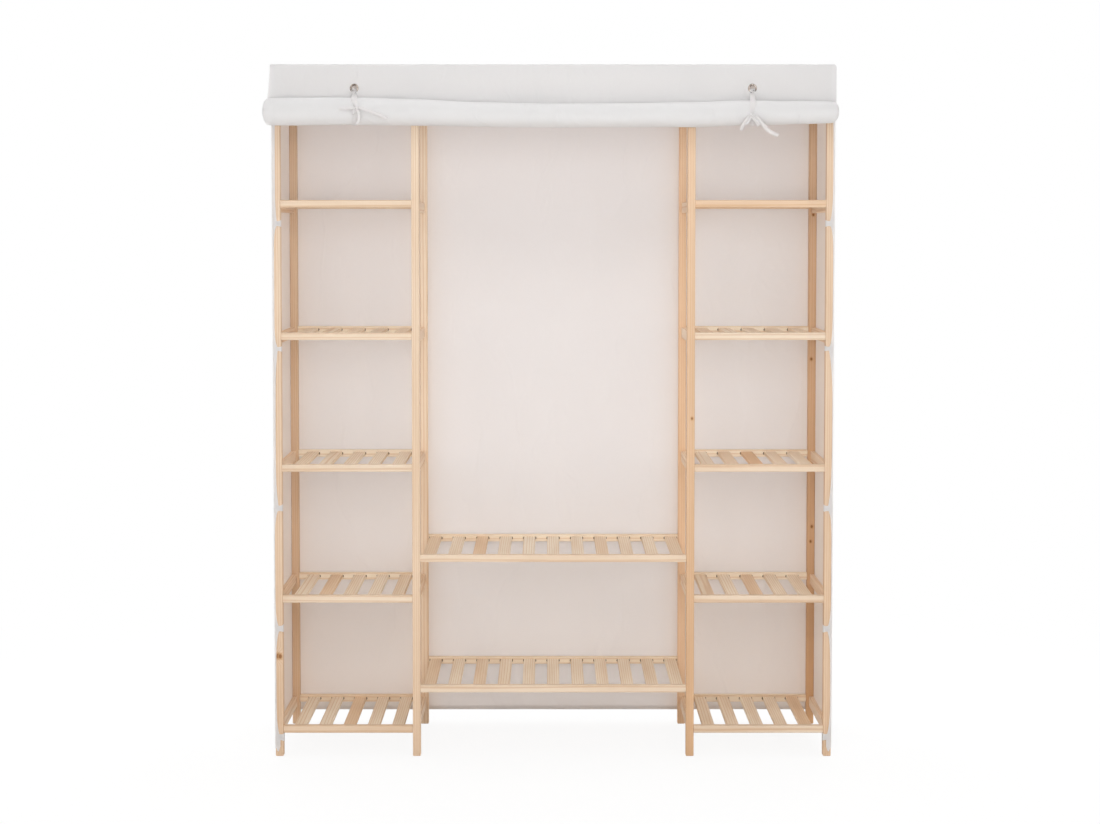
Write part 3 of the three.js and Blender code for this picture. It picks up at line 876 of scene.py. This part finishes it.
def makeRoof():
    thickness, radius, lip = roof["thickness"], roof["rearRadius"], roof["lip"]
    radii, seamAt, inset = roof["sideRadii"], roof["seamAt"], roof["seamInset"]
    outer = coverHalf + clearance
    front = headerHigh.y - clearance
    rear = backHigh.y - clearance / 2
    across = edgeTurn(-outer, 1, roofTop, lip, radii[-1])
    across += [(x, roofTop) for x in steps(radii[-1] - outer, outer - radii[1], roof["columns"])[1:-1]]
    across += list(reversed(edgeTurn(outer, -1, roofTop, lip, radii[1])))
    deep = [(y, roofTop) for y in steps(front, rear - radius, roof["rows"])]
    deep += list(reversed(edgeTurn(rear, -1, roofTop, lip, radius)))[1:]

    def place(column, row):
        (x, fallX), (y, fallY) = column, row
        z = min(fallX, fallY)
        if z >= roofTop - 0.00001:
            z -= roof["sag"] * roofSag(x, y)
            z += roof["waves"] * (ripple(x * 6, y * 9, 5.5) - 0.6) * min(1, roofSag(x, y) * 3)
        if fallX < roofTop and fallY < roofTop:  # the corners draw in
            draw = min(roof["cornerDraw"] * (roofTop - fallX) * (roofTop - fallY) / radius,
                       radius * roof["cornerLimit"])
            x -= math.copysign(draw, x)
            y -= draw
        z += roof["grain"] * ripple(x * 11, y * 11, 1.5)
        return Vector((x, y, z))

    sheet = makeSheet("coverTop", across, deep, place, thickness, (clothOutside, clothInsidePaintedLight))
    seam = roofTop - radius - lip * seamAt
    off = thickness * stitch["off"]
    line = [Vector((x, rear + off, seam)) for x in steps(-outer + inset, outer - inset, 2)]
    rows = [(line, (0, 1, 0))]
    for outward, sideRadius in radii.items():
        x = outward * (outer + off)
        seam = roofTop - sideRadius - lip * seamAt
        line = [Vector((x, y, seam)) for y in steps(front + inset / 2, rear - inset, 2)]
        rows.append((line, (outward, 0, 0)))
    thread = sewRows("roofStitches", rows)
    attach(sheet, "root")
    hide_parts("cover_top")


makeRoof()
print("roof made")


# Header above the door: it turns over the roof's front edge, has holes for the eyelets,
# hangs down behind the top of the roll, and its lower left corner flares out
header = {
    "thickness": 0.001,
    "half": 0.6829,
    "drop": 0.0125,
    "flare": 0.0078,
    "wave": 0.0012,
    "uneven": 0.0007,  # its lower edge, up and down
    "hem": 0.010,
    "hole": 0.0066,
    "hemHalf": 0.679,  # half the length of the hem's stitches
    "lapHalf": 0.672,
    "closeRows": 0.009,  # height of the closer rows under its upper edge
    "turn": 0.0028,  # radius of its upper edge
    "lap": 0.012,  # how far it lies on the roof
    "corners": {-1: 0.0024, 1: 0.0084},  # radius of the upper corners, by side
    "cornerReach": 0.03,  # how far in from an end its corner, its flare and its still edge act
    "flareReach": 0.05,
    "edgeReach": 0.02,
    "columns": 230,
    "rows": 26,
}
headerFoot = headerLow.z - header["drop"]


def headerPlace(x, row):
    depth, z = row
    low = min(1, max(0, (coverTop - z) / (coverTop - headerFoot)))
    half, side = header["half"], 1 if x > 0 else -1
    # rounded upper corners
    corner = header["corners"][side]
    rise = min(corner, max(0, z - coverTop + header["thickness"] / 2 + corner))
    cut = corner - math.sqrt(corner ** 2 - rise ** 2)
    cornerReach, flareReach = header["cornerReach"], header["flareReach"]
    x -= side * cut * ease((abs(x) - half + cornerReach) / cornerReach)
    x -= header["flare"] * ease((-x - half + flareReach) / flareReach) * low ** 1.2
    wave = ripple(x * 7, low * 1.4, 3.1) + 0.4 * ripple(x * 23, low * 3, 7.7)
    edge = ease((half - abs(x)) / header["edgeReach"])
    y = headerLow.y + header["thickness"] / 2 + depth
    y -= header["wave"] * max(0, wave + 0.25) * edge * (0.25 + 0.75 * low) * (depth == 0)
    return Vector((x, y, z + header["uneven"] * ripple(x * 5, 0.5, 2.2) * low ** 3))


def headerRows():
    top = coverTop - header["thickness"] / 2
    closer = top - header["closeRows"]
    turn = header["turn"]
    rows = [(0, z) for z in steps(headerFoot, closer, header["rows"])]
    rows += [(0, z) for z in steps(closer, top - turn, 4)[1:]]
    rows += [(turn - turn * math.cos(angle), top - turn + turn * math.sin(angle))
             for angle in steps(0, math.pi / 2, 5)[1:]]
    return rows + [(depth, top) for depth in steps(turn, header["lap"], 4)[1:]]


def punch(sheet, radius):
    # the two eyelet holes
    for x in (-eyeletX, eyeletX):
        clearSelection()
        bpy.ops.mesh.primitive_cylinder_add(vertices=32, radius=radius, depth=0.02,
                                            location=(x, headerLow.y, eyeletZ),
                                            rotation=(math.pi / 2, 0, 0))
        cutter = bpy.context.object
        hole = sheet.modifiers.new("hole", "BOOLEAN")
        hole.operation = "DIFFERENCE"
        hole.object = cutter
        applyModifiers(sheet)
        bpy.data.objects.remove(cutter)


def makeHeader():
    thickness = header["thickness"]
    columns = steps(-header["half"], header["half"], header["columns"])
    sheet = makeSheet("doorHeader", columns, headerRows(), headerPlace, thickness,
                      (rollCloth, clothInsidePaintedLight), angle=50, hole=header["hole"])
    hem = [headerPlace(x, (0, headerFoot + header["hem"])) - Vector((0, thickness * stitch["off"], 0))
           for x in steps(-header["hemHalf"], header["hemHalf"], 90)]
    lap = [Vector((x, headerLow.y + header["lap"] * 0.7, coverTop + 0.0001))
           for x in (-header["lapHalf"], header["lapHalf"])]
    thread = sewRows("headerStitches", [(hem, (0, -1, 0)), (lap, (0, 0, 1))])
    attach(sheet, "root")
    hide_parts("door_header")


makeHeader()
print("header made")


# The rolled door: one sheet wound in, soft at its ends, sagging between its two ties
doorRoll = {
    "turns": 13,
    "pitch": 0.0022,
    "thickness": 0.001,
    "ends": (-0.6966, 0.6846),
    "shape": [  # place along the roll, how far it hangs below its axis, radius
        (-0.70, 0.0006, 0.0341), (-0.47, -0.0006, 0.0341), (-0.37, 0.0012, 0.0331),
        (-0.17, 0.0072, 0.0301), (0.0, 0.0096, 0.0297), (0.17, 0.0088, 0.0299),
        (0.33, 0.0076, 0.0309), (0.48, 0.0033, 0.0309), (0.60, 0.0026, 0.0284), (0.69, 0.0014, 0.0262),
    ],
    "meanRadius": 0.95,  # of the shape's radii, as a share of the CAD's
    "taper": 0.0120,  # the outer layers end this much sooner than the core
    "draw": 0.14,  # the roll narrows by this share at its very ends
    "drawLength": 0.024,
    "waves": 0.013,
    "twist": 0.010,
    "fine": 0.004,
    "sway": 0.0004,  # of its middle, up and down
    "tiedDraw": 0.05,  # the ties press the roll in by this share
    "tiedReach": 0.016,
    "loose": 0.07,  # the core is wound less tightly
    "crease": 0.0009,
    "outerSteps": 60,
    "innerSteps": 16,
    "endColumns": 9,
    "columns": 84,
}


def rollAt(x, entry):
    # 1 gives the hang, 2 the radius
    shape = doorRoll["shape"]
    for start, end in zip(shape, shape[1:]):
        if x <= end[0]:
            return between(start[entry], end[entry], ease((x - start[0]) / (end[0] - start[0])))
    return shape[-1][entry]


def rollMiddle(x):
    return rollAxisZ - rollAt(x, 1) + doorRoll["sway"] * ripple(x * 6, 0, 6.6)


def rollReach(x, angle):
    # radius of the outer layer; one soft outline for all the layers keeps them apart
    c, s = math.cos(angle), math.sin(angle)
    wave = ripple(x * 4.0, c * 0.8, s * 0.8 + 4)
    twist = ripple(x * 15 + angle * 0.35, c * 1.3 + 7, s * 1.3)
    fine = ripple(x * 42 + c * 3, c * 2.1, s * 2.1 + 11)
    toEnd = min(x - doorRoll["ends"][0], doorRoll["ends"][1] - x)
    end = ease((doorRoll["drawLength"] - toEnd) / doorRoll["drawLength"])
    tied = math.exp(-((abs(x) - eyeletX) / doorRoll["tiedReach"]) ** 2)
    size = 1 + doorRoll["waves"] * wave + doorRoll["twist"] * twist + doorRoll["fine"] * fine
    pressed = 1 - doorRoll["tiedDraw"] * tied * (0.5 - 0.5 * c)
    return rollAt(x, 2) * size * (1 - doorRoll["draw"] * end ** 1.5) * pressed


def makeRoll():
    turns, pitch = doorRoll["turns"], doorRoll["pitch"]
    left, right = doorRoll["ends"]
    around = steps(0, 2, 2 * doorRoll["outerSteps"])
    around += steps(2, turns, (turns - 2) * doorRoll["innerSteps"])[1:]
    end = doorRoll["drawLength"] * 1.2 / (right - left)
    across = steps(0, end, doorRoll["endColumns"])
    across += steps(end, 1 - end, doorRoll["columns"])[1:-1]
    across += steps(1 - end, 1, doorRoll["endColumns"])

    def place(share, turn):
        depth = turn / turns
        taper = doorRoll["taper"] * (1 - math.sqrt(max(0, 1 - (1 - depth) ** 2)))
        angle = -turn * 2 * math.pi
        x = between(left + taper, right - taper, share)
        size = 1 - (doorRoll["thickness"] / 2 + turn * pitch) / rollRadius
        loose = 1 + doorRoll["loose"] * depth * ripple(x * 9, angle * 0.21, 3.3)
        radius = rollReach(x, angle) * size * loose
        fold = crease(x * 3.5 + angle * 0.12, angle * 0.5, 5.1)
        radius += doorRoll["crease"] * fold * ease((1 - turn) * 2) * ease(turn * 6)
        return Vector((x, rollAxisY + radius * math.cos(angle), rollMiddle(x) + radius * math.sin(angle)))

    sheet = makeSheet("doorRoll", across, around, place, doorRoll["thickness"], (rollCloth,))
    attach(sheet, "door_roll")
    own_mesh(sheet)
    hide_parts("door_roll")


makeRoll()
print("rolled door made")


# The stretch of the door between the header and the roll
doorCurtain = {
    "thickness": 0.0008,
    "tuck": 0.009,  # behind the header
    "fold": 0.00216,
    "inset": 0.0008,  # from the cover's sides
    "columns": 170,
    "rows": 96,
}


def makeCurtain():
    half = coverHalf - doorCurtain["inset"]
    back = headerHigh.y - clearance / 2

    def place(x, share):
        if share < 0:
            return Vector((x, back, headerLow.z - share * doorCurtain["tuck"]))
        z = between(headerLow.z, rollMiddle(x), share)
        end = rollAxisY + rollReach(x, 0) - doorRoll["thickness"] / 2
        y = between(back, end, ease(share * 1.1))
        fold = 0.5 + 0.5 * ripple(x * 7.5, share * 0.7, 8.8) + 0.25 * ripple(x * 19, share * 1.2, 1.8)
        return Vector((x, y + doorCurtain["fold"] * math.sin(math.pi * share) * max(0, fold), z))

    rows = steps(1, 0, doorCurtain["rows"]) + steps(0, -1, 5)[1:]
    sheet = makeSheet("doorCurtain", steps(-half, half, doorCurtain["columns"]), rows, place,
                      doorCurtain["thickness"], (clothOutside, clothInsidePaintedLight))
    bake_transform(sheet)
    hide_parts("door_cloth")


makeCurtain()
print("door curtain made")


# Tapes: a ribbon laid along guide points, each (x, y, z, width, twist)
def smoothPoint(points, share):
    # Catmull-Rom through tuples of numbers
    span = share * (len(points) - 1)
    index = min(int(span), len(points) - 2)
    t = span - index
    before, start = points[max(index - 1, 0)], points[index]
    end, after = points[index + 1], points[min(index + 2, len(points) - 1)]
    return [0.5 * (2 * b + (c - a) * t + (2 * a - 5 * b + 4 * c - d) * t * t
                   + (3 * b - a - 3 * c + d) * t ** 3)
            for a, b, c, d in zip(before, start, end, after)]


tape = {"thickness": 0.0008, "width": 0.014, "across": 10}


def halfArc(chordShare):
    # half the angle of the arc whose chord is this share of its length
    low, high = 0.01, 2.6
    for _ in range(24):
        middle = (low + high) / 2
        if math.sin(middle) / middle > chordShare:
            low = middle
        else:
            high = middle
    return (low + high) / 2


def makeTape(name, guide, facing, count):
    # the tape keeps its own width: where it looks narrow, it curls across
    line = [smoothPoint(guide, share) for share in steps(0, 1, count)]
    points = [Vector(entry[:3]) for entry in line]

    def place(across, index):
        ahead = points[min(index + 1, count)] - points[max(index - 1, 0)]
        ahead.normalize()
        side = ahead.cross(facing(points[index])).normalized()
        side.rotate(Matrix.Rotation(line[index][4], 3, ahead))
        lifted = side.cross(ahead).normalized()
        half = halfArc(min(0.99, line[index][3] / tape["width"]))
        radius = tape["width"] / (2 * half)
        turn = 2 * half * across
        return points[index] + side * radius * math.sin(turn) + lifted * radius * (math.cos(turn) - 1)

    piece = makeSheet(name, steps(-0.5, 0.5, tape["across"]), range(count + 1), place,
                      tape["thickness"], (tapeCloth,))
    length = sum((b - a).length for a, b in zip(points, points[1:]))
    return piece, (tape["width"], length)


# The ties: a band through the eyelet and round the roll, its knot, and what hangs from the knot
# Guides are (across, forward, up, width, twist) from the knot, in metres and radians
ties = {
    "left": {
        "rise": 0.0043,
        "lean": 0.0105,  # of the knot, towards the middle of the door
        "tails": [
            [(-0.001, 0.0, 0.0, 0.004, 0), (-0.012, 0.004, 0.001, 0.007, 0.25),
             (-0.026, 0.002, -0.001, 0.008, -0.2), (-0.041, 0.001, 0.001, 0.006, 0.1)],
            [(0.001, 0.0, 0.0, 0.004, 0), (0.014, 0.005, 0.001, 0.007, -0.5),
             (0.033, 0.004, -0.004, 0.008, -0.9), (0.053, 0.001, -0.015, 0.009, 0.1),
             (0.073, -0.001, -0.025, 0.008, 0.1)],
            [(0.0, 0.001, -0.001, 0.004, 0), (0.003, 0.004, -0.011, 0.007, 0.3),
             (0.004, 0.001, -0.025, 0.008, 0.9), (0.0, -0.003, -0.038, 0.009, 0.2)],
            [(-0.002, 0.001, 0.0, 0.003, 0), (-0.008, 0.006, -0.006, 0.005, 0.4),
             (-0.0085, 0.005, -0.015, 0.005, 0.9), (-0.003, 0.003, -0.010, 0.004, 0.5),
             (0.0, 0.001, -0.001, 0.003, 0)],
        ],
    },
    "right": {
        "rise": -0.0079,
        "lean": -0.0078,
        "tails": [
            [(-0.001, 0.0, 0.0, 0.004, 0), (-0.010, 0.004, -0.008, 0.007, 0.2),
             (-0.018, 0.002, -0.023, 0.008, -0.3), (-0.026, -0.006, -0.035, 0.007, 0.3)],
            [(0.001, 0.0, 0.0, 0.004, 0), (0.012, 0.005, -0.006, 0.007, 0.3),
             (0.028, 0.003, -0.023, 0.008, 0.1), (0.044, -0.001, -0.037, 0.009, -0.3),
             (0.064, -0.004, -0.048, 0.009, 0.1)],
            [(0.0, 0.001, -0.001, 0.003, 0), (0.006, 0.007, -0.010, 0.006, 0.3),
             (0.018, 0.004, -0.022, 0.007, 0.6), (0.013, 0.001, -0.017, 0.006, 0.4),
             (0.001, 0.0, -0.001, 0.003, 0)],
            [(0.0, 0.001, -0.001, 0.003, 0), (-0.005, 0.006, -0.010, 0.005, 0.2),
             (-0.013, 0.003, -0.021, 0.006, 0.4), (-0.006, 0.001, -0.016, 0.005, 0.2),
             (0.0, 0.0, -0.001, 0.003, 0)],
        ],
    },
}
band = {
    "hole": 0.0088,  # width of the tape in the eyelet
    "open": 0.0132,
    "knotWidth": 0.0072,
    "knotReach": 0.28,  # how far from the knot it narrows, in radians round the roll
    "start": 2.1,  # where it meets the roll and leaves it, in radians
    "end": 2 * math.pi - 0.55,
    "hug": 0.985,  # the tape presses the roll in by the rest
    "standoff": 0.0012,
    "behind": 0.0012,
    "nose": 0.0058,  # how far it bows out under the eyelet
    "steps": 90,
}
tailSteps = 30


def bandReach(x):
    return rollAt(x, 2) * band["hug"] + band["standoff"]


def bandGuide(x, rise, lean):
    # through the eyelet, down the front of the roll, under it and up behind the door
    reach = bandReach(x)
    nose = headerLow.y - band["nose"]
    behind = headerHigh.y + band["behind"]
    start, end, wide = band["start"], band["end"], band["open"]
    knotAngle = math.pi - math.asin(rise / reach)
    guide = [(x, headerLow.y + 0.0006, eyeletZ - 0.0022, band["hole"], 0),
             (x, nose, eyeletZ - 0.0050, wide, 0),
             (x + lean * 0.2, nose - 0.0040, eyeletZ - 0.0150, wide, 0)]
    for angle in (*steps(start, knotAngle, 4), *steps(knotAngle, end, 7)[1:]):
        near = math.exp(-((angle - knotAngle) / band["knotReach"]) ** 2)
        before = 0.3 + 0.7 * (angle - start) / (knotAngle - start)
        drift = lean * min(before, (end - angle) / (end - knotAngle))
        y = rollAxisY + reach * math.cos(angle)
        z = rollMiddle(x) + reach * math.sin(angle)
        guide.append((x + drift, y, z, between(wide, band["knotWidth"], near), 0))
    guide += [(x, behind, rollAxisZ - 0.004, wide, 0), (x, behind, headerLow.z - 0.005, wide, 0),
              (x, behind, eyeletZ - 0.010, wide, 0),
              (x, headerHigh.y + 0.0006, eyeletZ + 0.0004, band["hole"], 0)]
    return guide


tieKnot = {
    "turnRadius": 0.0031,
    "turnSection": 0.0021,
    "turnTilt": (0.25, 1.25, 0.2),
    "turnScale": (1.05, 1.25, 1.0),
    "coreRadius": 0.0036,
    "coreScale": (1.35, 0.85, 1.0),
    "voxel": 0.0005,
    "crumple": 0.0004,
    "crumpleScale": 900,
    "ahead": 0.0022,  # its middle, in front of the roll
}


def makeKnot(name, middle):
    # an overhand knot: a wrapped turn round a small pinched core
    clearSelection()
    bpy.ops.mesh.primitive_torus_add(major_radius=tieKnot["turnRadius"], minor_radius=tieKnot["turnSection"],
                                     major_segments=24, minor_segments=12, location=middle,
                                     rotation=tieKnot["turnTilt"])
    turn = bpy.context.object
    turn.scale = tieKnot["turnScale"]
    clearSelection()
    bpy.ops.mesh.primitive_uv_sphere_add(segments=20, ring_count=12, radius=tieKnot["coreRadius"],
                                         location=middle)
    core = bpy.context.object
    core.scale = tieKnot["coreScale"]
    bpy.ops.object.transform_apply(location=False, rotation=False, scale=True)
    turn.select_set(True)
    bpy.context.view_layer.objects.active = core
    bpy.ops.object.join()
    knot = bpy.context.object
    melt = knot.modifiers.new("melt", "REMESH")
    melt.mode = "VOXEL"
    melt.voxel_size = tieKnot["voxel"]
    applyModifiers(knot)
    for vertex in knot.data.vertices:
        away = vertex.co.copy()
        vertex.co += away.normalized() * tieKnot["crumple"] * noise.noise(away * tieKnot["crumpleScale"])
    paint(knot, tapeCloth)
    return settle(knot, name, 60)


def frontOfRoll(point):
    # away from the roll's axis, and straight ahead above it
    away = Vector((0, point.y - rollAxisY, point.z - rollAxisZ))
    return away.normalized() if away.length > 0.001 else Vector((0, -1, 0))


def straightAhead(point):
    # the same for every point of a tail
    return Vector((0, -1, 0))


def makeTie(side, outward):
    x = outward * eyeletX
    rise, lean = ties[side]["rise"], ties[side]["lean"]
    guide = bandGuide(x, rise, lean)
    bandPiece, bandSize = makeTape(f"tieBand{side.capitalize()}", guide, frontOfRoll, band["steps"])
    forward = math.sqrt(bandReach(x) ** 2 - rise ** 2) + tieKnot["ahead"]
    middle = Vector((x + lean, rollAxisY - forward, rollMiddle(x) + rise))
    knot = makeKnot(f"tieKnot{side.capitalize()}", middle)
    pieces = [bandPiece, knot]
    for number, tail in enumerate(ties[side]["tails"]):
        guide = [(middle.x + across, middle.y - ahead, middle.z + up, width, twist)
                 for across, ahead, up, width, twist in tail]
        name = f"tieTail{side.capitalize()}{number + 1}"
        piece, size = makeTape(name, guide, straightAhead, tailSteps)
        pieces.append(piece)
    for piece in pieces:
        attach(piece, "root")
        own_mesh(piece)
    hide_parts(f"tie_{side}")


for side, outward in sides.items():
    makeTie(side, outward)
print("ties made")


# Eyelets: a rolled metal ring through the header
eyelet = {
    "ringRadius": 0.0084,
    "ringSection": 0.0025,
    "flatness": 0.5,
    "sunk": 0.0002,  # into the header
    "barrel": 0.0028,
    "barrelEdge": 0.55,  # how far into the ring's section the barrel starts
}


def steelMaterial():
    material, tree, shader, coords = newMaterial("eyeletSteel", 0.3)
    # painted reflection: dark mottled marks in the steel's colour stand in for the dark reflections of a
    # polished ring; the same marks vary its roughness
    paintedDarkMarks = addNoise(tree, coords, 190, 3)
    ramp = addNode(tree, "ShaderNodeValToRGB", {"Fac": paintedDarkMarks})
    fillRamp(ramp, [(0.38, tint(168, 158, 150)), (0.62, tint(84, 74, 68))])
    tree.links.new(ramp.outputs["Color"], shader.inputs["Base Color"])
    tree.links.new(remap(tree, paintedDarkMarks, (0, 1), (0.22, 0.48)), shader.inputs["Roughness"])
    shader.inputs["Metallic"].default_value = 1.0
    return material


eyeletSteel = steelMaterial()


def makeEyelet(side, outward):
    clearSelection()
    bpy.ops.mesh.primitive_torus_add(major_radius=eyelet["ringRadius"], minor_radius=eyelet["ringSection"],
                                     major_segments=56, minor_segments=16,
                                     location=(outward * eyeletX, headerLow.y - eyelet["sunk"], eyeletZ),
                                     rotation=(math.pi / 2, 0, 0))
    ring = bpy.context.object
    ring.scale = (1, 1, eyelet["flatness"])
    bpy.ops.object.mode_set(mode="EDIT")
    shape = bmesh.from_edit_mesh(ring.data)
    inner = eyelet["ringRadius"] - eyelet["ringSection"] * eyelet["barrelEdge"]
    for face in shape.faces:
        middle = face.calc_center_median()
        face.select = math.hypot(middle.x, middle.y) < inner and middle.z < 0
    bmesh.update_edit_mesh(ring.data)
    bpy.ops.mesh.extrude_region_move(TRANSFORM_OT_translate={"value": (0, eyelet["barrel"], 0)})
    bpy.ops.object.mode_set(mode="OBJECT")
    paint(ring, eyeletSteel)
    settle(ring, f"eyelet{side.capitalize()}", 50)
    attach(ring, "root")
    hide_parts(f"eyelet_{side}")


for side, outward in sides.items():
    makeEyelet(side, outward)
print("eyelets made")


# Floor, world, lamps and camera
def raySeen(tree, *kinds):
    # 1 for a ray of any of these kinds
    rays = addNode(tree, "ShaderNodeLightPath").outputs
    seen = rays[kinds[0]]
    for kind in kinds[1:]:
        seen = calculate(tree, "MAXIMUM", seen, rays[kind])
    return seen


def floorMaterial():
    # white to the camera, with the object's shadow kept near it
    material, tree, shader, coords = newMaterial("floorWhite", 0.9)
    shader.inputs["Base Color"].default_value = tint(244, 243, 242)
    shader.inputs["Specular IOR Level"].default_value = 0.1
    far = remap(tree, calculateVector(tree, "LENGTH", coords), (0.9, 2.4), (0.9, 1.0), "SMOOTHSTEP")
    share = calculate(tree, "MULTIPLY", raySeen(tree, "Is Camera Ray", "Is Glossy Ray"), far)
    white = addNode(tree, "ShaderNodeEmission", {"Color": (1, 1, 1, 1), "Strength": 1.0})
    mix = addNode(tree, "ShaderNodeMixShader", {0: share, 1: shader.outputs[0], 2: white.outputs[0]})
    tree.links.new(mix.outputs[0], tree.nodes["Material Output"].inputs["Surface"])
    return material


def layFloor():
    clearSelection()
    bpy.ops.mesh.primitive_plane_add(size=24)
    floor = bpy.context.object
    floor.name = "studioFloor"
    paint(floor, floorMaterial())


studio = {
    "ambient": 0.3,
    "lamps": [  # name, place, target, width, height, watts
        ("centreSoftbox", (0, -2.9, 1.5), (0, 0, 1.1), 1.4, 1.0, 23),
        ("leftSoftbox", (-1.55, -2.35, 1.45), (-0.1, 0, 0.85), 1.0, 1.2, 7),
        ("rightSoftbox", (1.55, -2.35, 1.45), (0.1, 0, 0.85), 1.0, 1.2, 7),
        ("topSoftbox", (0, -1.9, 3.1), (0, 0, 1.5), 2.2, 1.0, 16),
        ("roofLamp", (0, 0.5, 3.6), (0, 0.2, 1.6), 2.0, 1.4, 27),
        ("lowSoftbox", (0, -2.9, 0.35), (0, 0, 1.2), 2.2, 0.6, 2),
        ("leftSideLamp", (-3.0, 0.1, 1.7), (0, 0, 1.15), 1.6, 1.8, 39),
        ("rightSideLamp", (3.0, 0.1, 1.7), (0, 0, 1.15), 1.6, 1.8, 39),
        ("leftBackLamp", (-1.5, 2.8, 1.9), (-0.2, 0, 1.2), 1.6, 1.8, 34),
        ("rightBackLamp", (1.5, 2.8, 1.9), (0.2, 0, 1.2), 1.6, 1.8, 34),
    ],
}


def lightStudio():
    world = bpy.data.worlds.new("studioWorld")
    bpy.context.scene.world = world
    world.use_nodes = True
    tree = world.node_tree
    tree.nodes.clear()
    through = raySeen(tree, "Is Camera Ray", "Is Glossy Ray", "Is Transmission Ray")
    soft = addNode(tree, "ShaderNodeBackground",
                   {"Color": (1, 0.995, 0.985, 1), "Strength": studio["ambient"]})
    white = addNode(tree, "ShaderNodeBackground", {"Color": (1, 1, 1, 1), "Strength": 1.0})
    mix = addNode(tree, "ShaderNodeMixShader", {0: through, 1: soft.outputs[0], 2: white.outputs[0]})
    addNode(tree, "ShaderNodeOutputWorld", {"Surface": mix.outputs[0]})
    for name, place, target, width, height, watts in studio["lamps"]:
        clearSelection()
        bpy.ops.object.light_add(type="AREA", location=place)
        lamp = bpy.context.object
        lamp.name = name
        lamp.data.shape = "RECTANGLE"
        lamp.data.size = width
        lamp.data.size_y = height
        lamp.data.energy = watts
        lamp.rotation_euler = (Vector(target) - Vector(place)).to_track_quat("-Z", "Y").to_euler()


camera = {"x": -0.008, "distance": 5.6, "height": 1.29, "lens": 75.6, "pitch": 3.17, "shift": -0.05}


def placeCamera():
    clearSelection()
    bpy.ops.object.camera_add(location=(camera["x"], postFront - camera["distance"], camera["height"]),
                              rotation=(math.radians(90 - camera["pitch"]), 0, 0))
    eye = bpy.context.object
    eye.data.lens = camera["lens"]
    eye.data.sensor_width = 36
    eye.data.shift_y = camera["shift"]
    bpy.context.scene.camera = eye
    bpy.context.scene.view_settings.view_transform = "Standard"


layFloor()
lightStudio()
placeCamera()
print("studio set")
